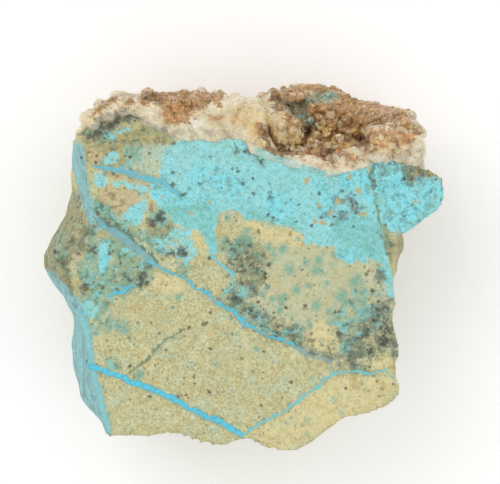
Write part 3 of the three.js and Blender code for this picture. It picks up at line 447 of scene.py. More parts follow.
# Round blue-green spots in the tan rock: (x, y, radius).
SPOTS = [
    (6.1, -0.4, 0.62), (9.5, -0.5, 0.58), (9.8, 0.7, 0.5), (8.3, 0.4, 0.4), (2.5, -3.7, 0.4),
    (3.1, -2.7, 0.35), (5.1, -4.4, 0.62), (3.8, -4.3, 0.4), (4.8, -5.7, 0.4), (6.9, -3.1, 0.5),
    (8.5, -2.5, 0.4), (9.6, -5.2, 0.6), (5.2, 2.2, 0.6), (4, 1.6, 0.4), (0.5, 3.6, 0.9),
    (7.2, 3.6, 0.3), (10.2, -10.1, 0.28), (11.2, -6, 0.4), (13.5, -4.7, 0.6), (14.6, -2.1, 0.8),
    (12, 1.5, 0.5), (15.8, -3.3, 0.5), (10.9, -2.2, 0.3), (-12.4, -2, 0.3), (-11.2, 0.4, 0.3),
    (12.8, -3.9, 0.8), (11.5, -7.4, 0.6), (8.7, -7.9, 0.4), (-13.5, -14.2, 0.6), (8.4, -20.2, 0.4),
    (6.3, -19.8, 0.25), (5.9, -18.2, 0.25), (1.7, -10.8, 0.3), (-8.4, -4.1, 0.4), (3.4, 2.4, 0.4),
    (-1.4, 1.2, 0.35), (-1.9, 6.3, 0.3), (-0.2, 2, 0.4), (0.6, 4.6, 0.4), (-17.6, -19.4, 0.3),
]

# Single dark grains: (x, y, radius).
GRAINS = [
    (-17.3, 18.4, 0.6), (-16.6, 18.9, 0.5), (-18.9, 17.2, 0.6), (-19.7, 16.8, 0.5),
    (-15.2, 19.7, 0.55), (-16, 20.2, 0.4), (-18.2, 17.9, 0.4), (-11.6, 5.3, 0.5), (-11, 6.2, 0.45),
    (-10.6, 6.9, 0.4), (-9.2, 1.7, 0.5), (-8.2, 2, 0.5), (-7.6, 1.5, 0.4), (-12.9, -1.4, 0.6),
    (-12.6, -2.2, 0.45), (-13.4, -2.4, 0.4), (-20.5, -3.1, 0.6), (-20.4, -2.5, 0.4),
    (-19.5, 2.2, 0.45), (-21.4, 1.6, 0.35), (-18.2, -2.8, 0.3), (-17.4, 1.6, 0.3),
    (-14.6, -1.9, 0.35), (-24.6, 1.9, 0.3), (-18.9, 6.9, 0.4), (0.5, 1.8, 0.36), (-4.4, 1, 0.3),
    (3, -1.2, 0.45), (3.4, 0.2, 0.3), (0, -0.7, 0.25), (1, 0.1, 0.25), (-4.8, -7.4, 0.35),
    (-0.1, -12, 0.2), (1.9, -4.7, 0.3), (-4.2, -10.8, 0.25), (-15.5, 1.4, 0.3), (-16, 0.3, 0.26),
    (-13.7, -0.1, 0.26), (-15.3, -0.9, 0.3), (-16.5, -2, 0.25), (-17.2, 2.6, 0.2),
    (-16.9, 12, 0.26), (-12.3, 14.7, 0.24), (-9, 16, 0.3), (-2.8, 10.2, 0.22), (3.5, 9.2, 0.42),
    (3.3, 6.7, 0.26), (3.9, 6.3, 0.3), (9.9, 9.5, 0.3), (18.8, -8, 0.3), (17.3, -7, 0.35),
    (17.7, -4.6, 0.3), (17, 6.9, 0.22), (20.3, -0.6, 0.3), (-4.4, -16.5, 0.25), (-12, -17, 0.28),
    (-7.4, -16.8, 0.25), (13.5, -15.9, 0.28), (8.8, -8.9, 0.25), (11.5, 5.4, 0.3), (12.9, 9.8, 0.3),
    (7.2, 8, 0.3), (9, 5.2, 0.25), (8, 6.8, 0.22), (10.2, 6.3, 0.24), (14.7, 6.9, 0.3),
    (-7.7, 9.3, 0.4), (-9.2, 10.5, 0.35), (-0.6, 12.3, 0.25), (2.4, 13.6, 0.25), (-4.2, 14.1, 0.25),
    (8.1, -5.2, 0.3), (-5.2, -7.6, 0.25), (21, 6.5, 0.2), (24.4, 9.6, 0.25), (22, 8, 0.2),
    (14.4, 5.1, 0.2), (-10, -10.9, 0.2), (-14.8, -9.4, 0.2), (-11.4, -13, 0.2), (16.5, -13.1, 0.2),
    (1, -5.8, 0.25), (-1.4, -2.4, 0.25), (-19.1, 13.5, 0.3),
]

# Small bright yellow to ochre dots in the films: (x, y, radius).
DOTS = [
    (-6.8, 6.9, 0.26), (-4.4, 8.2, 0.26), (12.4, 8.5, 0.45), (11.3, 6.9, 0.35), (15.6, 6.7, 0.4),
    (10.4, 5.6, 0.35), (9.3, 5.8, 0.3), (8.3, 11.1, 0.4), (13.9, 11.6, 0.35), (15, 9.8, 0.4),
    (-14.2, 0.8, 0.2), (-16.3, 6.4, 0.35), (6.2, 4.2, 0.25), (13.1, 15.2, 0.3), (-10.5, 8.9, 0.3),
    (9.9, 7.9, 0.3), (7.8, 2.9, 0.22), (23.6, 7, 0.2), (22.4, 8.4, 0.2),
]

# Stains on the rind. Some umber outlines and one lilac band are painted shade rather than stain.
RIND_FILMS = {
    "iron": [
        (0.5, 1.1, [
            [(-13.6, 23.5), (-13.4, 20.8), (-11.8, 21), (-10.6, 20), (-9.8, 18.4), (-8.4, 18.2),
             (-7, 18.6), (-6.4, 20.2), (-4.4, 21), (-2.6, 21.4), (-2.8, 23.5)]]),
        (0.4, 0.7, [
            [(-16.2, 21.8), (-14.2, 22), (-14.4, 20.8), (-15.6, 21)]]),
        (0.6, 1, [
            [(-20.2, 19.8), (-18.6, 21.4), (-16.8, 22.2), (-16.4, 21.4), (-17.8, 20.6),
             (-19.4, 19)]]),
        (0.6, 1.1, [
            [(3, 22.6), (4.6, 21), (7.2, 18.6), (8.8, 18), (11, 18.6), (13.8, 18), (16, 18),
             (17.4, 18.2), (19, 17.4), (21, 17.6), (22.8, 17.2), (23.4, 18.6), (22, 20.6), (17, 22),
             (12, 24.4), (5.4, 24.6), (3, 24)]]),
        (0.9, 0.1, [
            [(7.8, 18.6), (12, 18.2), (16.2, 17.6), (17, 15), (14, 13.6), (10, 13.6), (7.8, 15)]]),
        (0.8, 0.2, [
            [(15.5, 17.5), (18.5, 17.8), (21.5, 17), (21.8, 15.4), (19, 14.6), (16, 14.8)]]),
        (0.4, 0.9, [
            [(1.9, 18.6), (3.6, 18.6), (3.4, 16.8), (2, 16.6)],
            [(19, 17.9), (20.2, 17.8), (20, 17.2), (19.2, 17.2)],
            [(18.8, 16.5), (20.4, 16.4), (20.2, 15.7), (19, 15.8)]]),
        (0.3, 0.9, [
            [(1.4, 16.8), (2.4, 16.4), (2.6, 15.6), (1.6, 15.8)]]),
        (0.4, 0.4, [
            [(20.4, 17.4), (22.2, 17.2), (21.8, 15.8), (20.6, 15.8)]]),
    ],
    # Umber is brown stain, and three of its outlines are painted shade.
    "umber": [
        # Painted shade in a recess to the left of the creamy lump.
        (0.5, 0.8, [
            [(2.2, 18.4), (3.4, 18.2), (3.2, 17), (2.2, 17)]]),
        # Painted shade on the creamy lump's lower left side.
        (0.6, 0.6, [
            [(2.8, 17.2), (5, 16), (7.2, 15.6), (6.8, 14.4), (4.2, 14.2), (2.8, 15.2)]]),
        # Painted shade in the dark hole at the bottom of the hollow.
        (0.5, 0.9, [
            [(10.4, 15.2), (11.8, 15.2), (12, 13.4), (10.6, 13.4)]]),
        (0.5, 0.5, [
            [(7.6, 18.4), (8.6, 18.2), (8.6, 15.4), (7.4, 15.6)]]),
        (0.5, 0.6, [
            [(-13.2, 22.6), (-10.4, 22.6), (-10.8, 21.4), (-12.8, 21.4)],
            [(15.6, 17.4), (16.6, 17.2), (16.2, 15.4), (15.2, 15.6)]]),
        (0.6, 0.5, [
            [(3.2, 23), (5.2, 22), (4.6, 20.6), (3.2, 21.4)]]),
    ],
    "orange": [
        (0.6, 0.8, [
            [(7.4, 15.4), (10.4, 15.6), (10.2, 13.8), (7.8, 13.8)]]),
        (0.6, 0.5, [
            [(20.4, 17.4), (22.2, 17.2), (21.8, 15.8), (20.6, 15.8)]]),
        (0.5, 0.7, [
            [(-4.2, 19.5), (-2.8, 19.4), (-2.8, 18.8), (-4.2, 18.9)],
            [(-1.4, 19.4), (0.2, 19.2), (0, 18.5), (-1.4, 18.6)],
            [(-0.6, 21.2), (0.5, 21), (0.4, 20.2), (-0.5, 20.3)]]),
        (0.4, 0.8, [
            [(-10.8, 19.8), (-9.4, 19), (-7.2, 19.2), (-7, 20.6), (-9.4, 21)]]),
        (0.4, 0.9, [
            [(4.9, 18.7), (6.2, 18.8), (6.4, 17.6), (5.2, 17.6)]]),
    ],
    "lilac": [
        (0.6, 0.7, [
            [(-13.4, 19.4), (-11.8, 19), (-9.8, 18), (-10, 17.2), (-12.4, 17.6)],
            [(17.2, 19.4), (20.6, 19.4), (20.4, 18.6), (17.4, 18.8)]]),
        # Painted shade: a grey band along the rind's foot, beside the rock.
        (0.6, 0.6, [
            [(-9.6, 17.9), (-5.6, 17.9), (-1.8, 17.8), (-0.4, 17.2), (-1.8, 16.7), (-9, 16.8)]]),
        (0.8, 0.4, [
            [(17.4, 14.8), (20, 14.9), (23.2, 15), (23.4, 13), (19.6, 13.2), (16, 13.8)]]),
        (0.6, 0.5, [
            [(14.6, 17), (16.4, 16.8), (16.4, 15.4), (15, 15.4)]]),
        (0.5, 0.6, [
            [(-17, 22.6), (-14.2, 22.6), (-14.4, 21.4), (-16.8, 21.4)]]),
    ],
    "green": [
        (0.6, 0.6, [
            [(9.4, 22.4), (10.7, 23.1), (12.4, 22.8), (12.3, 22.1), (10.8, 21.6), (9.4, 21.5),
             (8.6, 22)]]),
        (0.4, 0.6, [
            [(7.2, 19.8), (8, 20.2), (9, 19.4), (9.8, 18.8), (9.4, 18.3), (7.8, 18.8)]]),
    ],
    "moss": [
        (0.4, 1.3, [
            [(-21, 17.4), (-19.4, 19), (-17.6, 20), (-16, 20.3), (-14.4, 19.9), (-12.7, 18.9),
             (-10.1, 17.9), (-8.8, 17), (-9, 15.8), (-12, 16.6), (-16, 18), (-19, 17.2),
             (-21, 16.4)]]),
        (0.6, 0.9, [
            [(4.9, 21.9), (6.8, 22), (8.5, 21.6), (8.5, 20.6), (7.4, 19.8), (6.1, 20.1),
             (5.2, 20.8)]]),
    ],
    "turquoise": [
        (0.25, 1.6, [
            [(1.5, 15.5), (2.5, 15.2), (4.4, 14.4), (6.2, 13.8), (7.7, 13.3), (9.4, 12.8),
             (11.4, 12.1), (12.6, 12.2), (14, 12.4), (14.2, 12), (11.6, 10.6), (7.7, 11.6),
             (4.4, 12.8), (1.2, 14.6)]]),
    ],
    "honey": [
        (0.8, 1, [
            [(0.4, 20.8), (2.6, 20.8), (5.2, 20.4), (8.4, 18.6), (8.6, 15.4), (4.6, 14.8),
             (2.6, 15.2), (1, 17.2), (-0.6, 18.4), (-2.2, 20)]]),
        (0.3, 1.6, [
            [(5, 18.8), (6.1, 18.8), (6.3, 17.7), (5.1, 17.7)]]),
        (0.6, 0.6, [
            [(16, 17.8), (18.6, 16.6), (20.2, 15), (17.6, 14.6), (15.8, 15.6)]]),
        (0.5, 0.4, [
            [(-21, 19.4), (-18.6, 20.6), (-18.2, 19.4), (-20.8, 18)]]),
    ],
}


# Rounded lumps that stand on the rind: (x, y, radius, how far up they stand in radii).
RIND_LUMPS = [
    (4.2, 22.3, 1.25, 0.55), (-15.4, 20.8, 1.6, 0.3), (-19.6, 18.4, 1.5, 0.2),
    (9.1, 14.6, 1.3, 0.45), (-13.2, 20.2, 1.3, 0.35), (-17.4, 19.9, 1.2, 0.35),
    (-4.2, 20.2, 1.3, 0.3), (-1, 20, 1.4, 0.35), (1.8, 19.6, 1.4, 0.3), (-8.8, 20.8, 1.2, 0.4),
    (-6.2, 21.3, 1.2, 0.35), (20.2, 17, 1.6, 0.3), (22.2, 16, 1.3, 0.3), (17.6, 16.4, 1.4, 0.25),
    (12, 20.4, 1.3, 0.3), (14.6, 13.9, 0.9, 0.5), (11.6, 13.2, 0.8, 0.4), (6.6, 21.6, 1.3, 0.3),
    (-11.4, 21.8, 1, 0.35), (3, 15.4, 0.9, 0.4),
]

# Large crystals in the hollow: (x, y, width, tone from 0 for brown to 1 for white).
# The darkest tones are partly painted shade, where the hollow lies in shadow.
BIG_CRYSTALS = [
    (10.8, 15.9, 1.7, 0.45), (12.3, 14.4, 1.5, 0.3), (12.7, 16.6, 1.2, 0.78),
    (14.4, 15.8, 1.5, 0.35), (11.6, 19.6, 1.8, 0.7), (9.4, 17.6, 1.1, 0.2), (13.9, 17.8, 1.2, 0.5),
    (10.2, 18.6, 1, 0.1), (15.3, 14.4, 1, 0.85), (8.9, 16.3, 1.2, 0.25), (13.2, 13.3, 0.9, 0.9),
    (14.9, 17.3, 1, 0.15), (9.3, 14.4, 1.2, 0.55), (11.9, 17.6, 1.1, 0.25), (16.6, 16.9, 1.3, 0.6),
    (13.4, 19.3, 1.2, 0.35), (15.4, 19, 1.1, 0.5), (17.9, 18.2, 1, 0.3), (8.3, 18.5, 0.9, 0.3),
    (7.6, 16.9, 1, 0.15), (12.2, 15.5, 1.1, 0.85), (11.5, 16.7, 1, 0.7), (13.6, 14.9, 1, 0.9),
    (14.6, 13.9, 1.1, 0.95), (16.2, 15.3, 1.1, 0.9), (9.9, 14.9, 1.3, 0.35), (12.9, 18.6, 1.2, 0.6),
    (10.9, 17.2, 1, 0.65),
]


# Crystals on the creamy lump beside the hollow and along the rind, laid out in the same way.
LUMP_CRYSTALS = [
    (5, 18.3, 1.8, 0.85), (6.3, 17.5, 1.6, 0.75), (4.1, 17.1, 1.6, 0.72), (7, 18.7, 1.3, 0.9),
    (5.6, 19.7, 1.4, 0.85), (3.5, 18.6, 1.3, 0.75), (7.3, 16.4, 1.4, 0.6), (5.3, 16.2, 1.5, 0.7),
    (2.7, 16.4, 1.1, 0.5), (6.5, 15.3, 1.1, 0.6), (4.4, 15.4, 0.9, 0.95), (2.4, 19.7, 1.2, 0.8),
    (0.8, 19, 1.2, 0.8), (-0.8, 18.4, 1, 0.9), (-2.6, 19.6, 1.2, 0.95), (-4.4, 18.8, 1.1, 0.85),
    (-6.4, 18.2, 1, 0.9), (-9, 19.2, 1.2, 0.3), (-9.8, 18.4, 1, 0.9), (-8.4, 20.6, 1.1, 0.28),
    (-10.6, 20.8, 1, 0.25), (-7.2, 21.2, 1.1, 0.3), (-12.4, 21, 0.9, 0.2), (9.4, 14.8, 1.2, 0.3),
    (17.4, 15.8, 1.3, 0.85), (19, 16.4, 1.3, 0.7), (21, 15.6, 1.2, 0.8), (18.2, 14.4, 1, 0.9),
    (10.2, 21.2, 1.3, 0.3), (7.4, 22, 1.2, 0.35), (14.4, 20.4, 1.1, 0.3), (18.6, 19, 1, 0.35),
]


# ------------------------------------------------------------------ settings

def colour_setting(name, description, red, green, blue):
    return bpy.props.FloatVectorProperty(
        name=name, description=description, subtype="COLOR", size=3, min=0, max=1,
        default=srgb(red, green, blue))


def length_setting(name, description, millimetres):
    return bpy.props.FloatProperty(
        name=name, description=description, default=millimetres * MM, min=0,
        unit="LENGTH", precision=5)


class RockSettings(bpy.types.PropertyGroup):
    """Sizes and colours of the veined host rock."""

    detail: length_setting("Detail", "Width of the rock's mesh squares", 0.37)
    side_relief: length_setting("Side relief", "How rough the broken sides are", 1.1)
    face_relief: length_setting("Face relief", "How rough the show face is", 0.22)
    tan: colour_setting("Tan", "Main colour of the rock", 200, 196, 148)
    ochre: colour_setting("Ochre", "Yellow clay in the rock", 208, 182, 118)
    peach: colour_setting("Peach", "Pinkish clay beside the veins", 204, 186, 146)
    pale: colour_setting("Pale", "Pale tan rock without stains", 234, 224, 170)
    olive: colour_setting("Olive", "Dull green-brown rock", 148, 150, 114)
    green: colour_setting("Grey green", "Green-grey stained rock", 134, 168, 140)
    turquoise: colour_setting("Turquoise", "Main turquoise film", 157, 228, 230)
    bright: colour_setting("Bright turquoise", "Purest parts of the film", 130, 232, 246)
    teal: colour_setting("Teal", "Thin green-blue film", 120, 194, 180)
    washed: colour_setting("Washed turquoise", "Pale greyish part of the film", 176, 222, 214)
    vein: colour_setting("Vein", "Bright blue filling of the veins", 98, 212, 238)
    strip: colour_setting("Blue strip", "Greyish blue coat on the left side", 150, 202, 204)
    hairline: colour_setting("Hairline", "Dark green hairlines", 96, 132, 110)
    soot: colour_setting("Soot", "Dark grey mineral stain", 104, 110, 104)
    dust: colour_setting("Dust", "Grey-brown weathered sides", 154, 156, 132)
    chalk: colour_setting("Chalk", "Greyish pale spotted rock", 200, 205, 174)


class QuartzSettings(bpy.types.PropertyGroup):
    """Sizes and colours of the quartz rind and its crystals."""

    detail: length_setting("Detail", "Width of the rind's mesh squares", 0.2)
    lump_relief: length_setting("Lump relief", "Height of the rounded lumps", 0.8)
    sugar_relief: length_setting("Sugar relief", "Height of the small crystal tips", 0.4)
    point_count: bpy.props.IntProperty(
        name="Points", description="Small crystals scattered on the rind",
        default=900, min=0, max=4000)
    druse_count: bpy.props.IntProperty(
        name="Hollow points", description="Small crystals in the open hollow",
        default=200, min=0, max=1000)
    cream: colour_setting("Cream", "Milky quartz", 232, 217, 178)
    white: colour_setting("White", "Clean quartz tips", 246, 240, 222)
    iron: colour_setting("Iron", "Brown iron stain", 172, 125, 70)
    orange: colour_setting("Orange", "Orange iron stain", 202, 148, 90)
    honey: colour_setting("Honey", "Yellow-brown glassy quartz", 232, 196, 118)
    # Umber is brown stain and also painted shade in some recesses.
    umber: colour_setting("Umber", "Deep brown in the recesses", 118, 82, 42)
    # Grey quartz also paints a band of shade along the rind's foot.
    lilac: colour_setting("Grey quartz", "Greyish lilac quartz", 196, 186, 164)
    green: colour_setting("Green", "Turquoise green crust", 140, 186, 172)
    turquoise: colour_setting("Turquoise", "Turquoise film on the rind's edge", 150, 214, 212)
    moss: colour_setting("Moss", "Grey-green crust", 132, 134, 110)


class StageSettings(bpy.types.PropertyGroup):
    """The floor, the lights and the camera."""

    floor_colour: colour_setting("Floor", "Colour of the plain floor", 255, 255, 255)
    view_width: length_setting("View width", "Width that the camera shows", 65)
    view_x: bpy.props.FloatProperty(
        name="View X", description="Middle of the view", default=0.91 * MM, unit="LENGTH")
    view_y: bpy.props.FloatProperty(
        name="View Y", description="Middle of the view", default=3.12 * MM, unit="LENGTH")
    sky: bpy.props.FloatProperty(
        name="Sky", description="Strength of the soft light from all round", default=0.86, min=0)
    key: bpy.props.FloatProperty(
        name="Key", description="Power of the main light", default=0.4, min=0, unit="POWER")


# ------------------------------------------------------------------ mesh helpers

def cloud(points, size, seed):
    """Smooth noise from -1 to 1 over an array of points, with features about as wide as size."""
    place = points / size + seed * 17.31
    cell = np.floor(place)
    part = place - cell
    part = part * part * (3 - 2 * part)
    total = np.zeros(len(points))
    for corner in itertools.product((0, 1), repeat=3):
        wave = np.sin((cell + corner) @ np.array([127.1, 311.7, 74.7])) * 43758.5453
        weight = np.where(corner, part, 1 - part).prod(axis=1)
        total += weight * (wave - np.floor(wave))
    return 2 * total - 1


def inside_by(outline, x, y):
    """How far inside an outline each point lies. It is negative outside."""
    nearest = np.full(len(x), FAR)
    inside = np.zeros(len(x), bool)
    for (ax, ay), (bx, by) in zip(outline, outline[1:] + outline[:1]):
        ex, ey = bx - ax, by - ay
        along = np.clip(((x - ax) * ex + (y - ay) * ey) / (ex * ex + ey * ey), 0, 1)
        nearest = np.minimum(nearest, np.hypot(x - ax - along * ex, y - ay - along * ey))
        if ay != by:
            inside ^= ((ay > y) != (by > y)) & (x < ex * (y - ay) / ey + ax)
    return np.where(inside, nearest, -nearest)


def film_cover(film, x, y):
    """Cover of a film at each point: positive where it is solid, negative where it is bare."""
    cover = np.full(len(x), BARE)
    for fray, solid, outlines in film:
        for outline in outlines:
            cover = np.maximum(cover, np.clip(inside_by(outline, x, y) / fray, BARE, solid))
    return cover


def spot_cover(spots, x, y):
    """Cover of round spots: 1 in the middle of a spot, 0 at its rim, and negative outside."""
    cover = np.full(len(x), BARE)
    for spot_x, spot_y, radius in spots:
        cover = np.maximum(cover, 1 - np.hypot(x - spot_x, y - spot_y) / radius)
    return cover


def vein_place(veins, x, y):
    """For each point: signed distance across the nearest vein, and the vein's half width there."""
    nearest = np.full(len(x), FAR)
    across = np.full(len(x), 9.0)
    half = np.zeros(len(x))
    for vein in veins:
        for index, ((ax, ay, aw), (bx, by, bw)) in enumerate(zip(vein, vein[1:])):
            ex, ey = bx - ax, by - ay
            length = math.hypot(ex, ey)
            along = ((x - ax) * ex + (y - ay) * ey) / length
            kept = np.clip(along, 0, length)
            gap = np.hypot(x - ax - kept * ex / length, y - ay - kept * ey / length)
            side = ((x - ax) * ey - (y - ay) * ex) / length
            width = aw + (bw - aw) * kept / length
            past = np.zeros(len(x))
            if index == 0:
                past = np.maximum(past, -along)
            if index == len(vein) - 2:
                past = np.maximum(past, along - length)
            closer = gap - width < nearest
            nearest = np.where(closer, gap - width, nearest)
            across = np.where(closer, np.where(past > 0, side, np.copysign(gap, side)), across)
            half = np.where(closer, width - past, half)
    return across, half


def only(piece):
    """Makes a piece the one selected and active object."""
    if bpy.context.mode != "OBJECT":
        bpy.ops.object.mode_set(mode="OBJECT")
    bpy.ops.object.select_all(action="DESELECT")
    piece.select_set(True)
    bpy.context.view_layer.objects.active = piece


def copy_of_node(node, name):
    """A new piece with a CAD node's shape, its loose triangles merged."""
    piece = bpy.data.objects.new(name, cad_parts[node].data.copy())
    piece.data.name = name
    piece.data.materials.clear()
    bpy.context.scene.collection.objects.link(piece)
    only(piece)
    bpy.ops.object.mode_set(mode="EDIT")
    bpy.ops.mesh.select_all(action="SELECT")
    bpy.ops.mesh.remove_doubles(threshold=1e-7)
    bpy.ops.object.mode_set(mode="OBJECT")
    return piece


def select_faces(piece, chosen):
    """Selects the faces that chosen(centre, normal) is true for, and enters edit mode."""
    only(piece)
    bpy.ops.object.mode_set(mode="EDIT")
    bpy.ops.mesh.select_mode(type="FACE")
    bpy.ops.mesh.select_all(action="DESELECT")
    bpy.ops.object.mode_set(mode="OBJECT")
    for face in piece.data.polygons:
        face.select = chosen(face.center / MM, face.normal)
    bpy.ops.object.mode_set(mode="EDIT")


def apply_modifier(piece, kind, name, **settings):
    """Adds a modifier with its settings and applies it."""
    only(piece)
    bpy.ops.object.modifier_add(type=kind)
    modifier = piece.modifiers[-1]
    modifier.name = name
    for key, value in settings.items():
        setattr(modifier, key, value)
    bpy.ops.object.modifier_apply(modifier=modifier.name)


def relief(piece, name, kind, size, strength, middle, group="", **settings):
    """Displaces a piece by a procedural texture whose features are size millimetres wide."""
    texture = bpy.data.textures.new(name, kind)
    texture.noise_scale = size * MM
    for key, value in settings.items():
        setattr(texture, key, value)
    apply_modifier(piece, "DISPLACE", name, texture=texture, texture_coords="LOCAL",
                   strength=strength, mid_level=middle, vertex_group=group)


def read(items, name, count):
    """What each of a mesh's items holds under a name, as an array with count numbers in a row."""
    flat = np.empty(len(items) * count, np.float32)
    items.foreach_get(name, flat)
    return flat.reshape(-1, count)


def vertex_places(piece):
    """Vertex positions in millimetres."""
    return read(piece.data.vertices, "co", 3).astype(float) / MM


def vertex_normals(piece):
    return read(piece.data.vertices, "normal", 3).astype(float)


def weigh(piece, name, weights):
    """A vertex group with the given weight at each vertex."""
    group = piece.vertex_groups.new(name=name)
    for index, weight in enumerate(np.clip(weights, 0, 1).tolist()):
        group.add([index], weight, "REPLACE")


def store(piece, name, values):
    """Keeps a number, or three numbers, at each vertex for the materials to read."""
    values = np.asarray(values, np.float32)
    if values.ndim == 1:
        piece.data.attributes.new(name, "FLOAT", "POINT").data.foreach_set("value", values)
    else:
        kept = piece.data.attributes.new(name, "FLOAT_VECTOR", "POINT")
        kept.data.foreach_set("vector", values.ravel())


def keep_in_box(piece):
    """Stops relief from standing outside the CAD model's box."""
    low, high = (np.array(corner) for corner in CAD_BOX)
    places = np.clip(vertex_places(piece) * MM, low, high)
    piece.data.vertices.foreach_set("co", places.astype(np.float32).ravel())
    piece.data.update()


def hollowness(piece, rounds):
    """How deep each vertex lies below its surroundings, in millimetres. Peaks are negative."""
    places = vertex_places(piece)
    edges = np.empty(len(piece.data.edges) * 2, np.int32)
    piece.data.edges.foreach_get("vertices", edges)
    a, b = edges.reshape(-1, 2).T
    count = np.bincount(a, minlength=len(places)) + np.bincount(b, minlength=len(places))
    average = places
    for _ in range(rounds):
        total = np.stack([
            np.bincount(a, average[b, axis], len(places))
            + np.bincount(b, average[a, axis], len(places))
            for axis in range(3)], axis=1)
        average = total / np.maximum(count, 1)[:, None]
    return ((average - places) * vertex_normals(piece)).sum(axis=1)


def drop_on(piece, x, y):
    """Where a straight drop at x, y strikes a piece, or None if it misses."""
    struck, place, _, _ = piece.ray_cast(Vector((x * MM, y * MM, 1)), Vector((0, 0, -1)))
    return place if struck else None


def finish_piece(piece, material, slot, *nodes):
    """Gives a piece its material and its place in the frame."""
    piece.data.materials.clear()
    piece.data.materials.append(material)
    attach(piece, "root")
    if nodes:
        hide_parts(*nodes)


# ------------------------------------------------------------------ shader helpers

class Field:
    """A number, colour or place that changes over the surface: what a shader node puts out.

    Adding, taking away, multiplying or dividing fields makes the math nodes.
    """

    def __init__(self, socket):
        self.socket = socket
        self.tree = socket.id_data

    def __add__(self, other):
        return calculate("ADD", self, other)

    def __radd__(self, other):
        return calculate("ADD", other, self)

    def __sub__(self, other):
        return calculate("SUBTRACT", self, other)

    def __rsub__(self, other):
        return calculate("SUBTRACT", other, self)

    def __mul__(self, other):
        return calculate("MULTIPLY", self, other)

    def __rtruediv__(self, other):
        return calculate("DIVIDE", other, self)


def put(tree, kind, label="", **settings):
    """A new shader node with its own settings."""
    node = tree.nodes.new(kind)
    node.label = label
    for key, value in settings.items():
        setattr(node, key, value)
    return node


def feed(socket, value):
    """Links a socket to a field, or sets its value."""
    if isinstance(value, Field):
        value.tree.links.new(value.socket, socket)
    elif socket.type == "RGBA" and len(value) == 3:
        socket.default_value = (*value, 1)
    else:
        socket.default_value = value


def fed(kind, sockets, values, **settings):
    """A new node beside the first field among the values, with the values fed to its sockets."""
    tree = next(value.tree for value in values if isinstance(value, Field))
    node = put(tree, kind, **settings)
    for socket, value in zip(sockets, values):
        feed(node.inputs[socket], value)
    return node


def calculate(operation, *values):
    return Field(fed("ShaderNodeMath", (0, 1), values, operation=operation).outputs[0])


def largest(first, *others):
    """The largest of some fields."""
    for other in others:
        first = calculate("MAXIMUM", first, other)
    return first


def blend(share, below, over, mode="MIX"):
    """Colour below with colour over laid on it by share."""
    node = fed("ShaderNodeMix", (0, 6, 7), (share, below, over), data_type="RGBA", blend_type=mode)
    return Field(node.outputs[2])


def step_up(value, low, high):
    """0 below low, 1 above high, and smooth between them."""
    node = fed("ShaderNodeMapRange", range(5), (value, low, high, 0.0, 1.0),
               interpolation_type="SMOOTHSTEP")
    return Field(node.outputs[0])


def noise(place, scale, detail=4.0, rough=0.6, bend=0.0, output=0):
    """Soft noise as a number, or as a colour with output 1."""
    node = fed("ShaderNodeTexNoise", ("Vector", "Scale", "Detail", "Roughness", "Distortion"),
               (place, scale, detail, rough, bend))
    return Field(node.outputs[output])


def cells(place, scale):
    """Random cells: the distance from the nearest middle, and three lots drawn for each cell."""
    node = fed("ShaderNodeTexVoronoi", ("Vector", "Scale"), (place, scale))
    drawn = fed("ShaderNodeSeparateColor", (0,), (Field(node.outputs["Color"]),))
    return Field(node.outputs["Distance"]), *(Field(lot) for lot in drawn.outputs)


def millimetres(shift):
    """Object coordinates in millimetres, moved by shift."""
    place = Field(put(shift.tree, "ShaderNodeTexCoord").outputs["Object"])
    scaled = fed("ShaderNodeVectorMath", (0, "Scale"), (place, 1 / MM), operation="SCALE")
    moved = fed("ShaderNodeVectorMath", (0, 1), (Field(scaled.outputs[0]), shift), operation="ADD")
    return Field(moved.outputs[0])


def stored(tree, name, output="Fac"):
    """The value kept at each vertex under a name."""
    node = put(tree, "ShaderNodeAttribute", attribute_name=name, attribute_type="GEOMETRY")
    return Field(node.outputs[output])


def new_group(name, inputs, *outputs):
    """An empty node group: its inputs are {name: default}, and an output is named for its kind.

    A default with four numbers is a colour, one with three is a vector, and the rest are numbers.
    """
    tree = bpy.data.node_groups.new(name, "ShaderNodeTree")
    kinds = {4: "NodeSocketColor", 3: "NodeSocketVector", 0: "NodeSocketFloat"}
    for label, default in inputs.items():
        kind = kinds[len(default) if isinstance(default, tuple) else 0]
        tree.interface.new_socket(label, in_out="INPUT", socket_type=kind).default_value = default
    for label in outputs:
        kind = kinds[4 if label == "Colour" else 0]
        tree.interface.new_socket(label, in_out="OUTPUT", socket_type=kind)
    sockets = put(tree, "NodeGroupInput").outputs
    given = {socket.name: Field(socket) for socket in sockets if socket.name}
    return given, put(tree, "NodeGroupOutput").inputs


def use_group(tree, group, label="", **values):
    """Places a node group and gives its outputs. Underscores stand for spaces in input names."""
    node = put(tree, "ShaderNodeGroup", label, node_tree=bpy.data.node_groups[group])
    for key, value in values.items():
        feed(node.inputs[key.replace("_", " ")], value)
    return [Field(socket) for socket in node.outputs]


GREY = (0.5, 0.5, 0.5, 1.0)
GREY_LILAC = (0.55, 0.5, 0.48)
DARK_GREEN = (0.17, 0.25, 0.22)
SOFT_BLACK = (0.05, 0.047, 0.04)
NO_SHIFT = (0.0, 0.0, 0.0)


def stain_group():
    """A film with a frayed edge: cover plus noise decides where it shows."""
    given, made = new_group("Stain", {
        "Below": GREY, "Film": GREY, "Second Film": GREY, "Cover": 0, "Scale": 1, "Fraying": 3,
        "Crumbs": 2, "Softness": 0.3, "Strength": 1, "Shift": NO_SHIFT}, "Colour", "Mask")
    scale, softness = given["Scale"], given["Softness"]
    place = millimetres(given["Shift"])
    fray = (noise(place, scale, 5.0) - 0.5) * given["Fraying"]
    crumbs = (noise(place, scale * 4.5, 3.0) - 0.5) * given["Crumbs"]
    cover = fray + crumbs + given["Cover"]
    mask = step_up(cover, softness * -1.0, softness) * given["Strength"]
    tone = step_up(noise(place, scale * 0.8, 5.0, bend=0.3), 0.36, 0.64)
    film = blend(tone, given["Film"], given["Second Film"])
    feed(made["Colour"], blend(mask, given["Below"], film))
    feed(made["Mask"], mask)


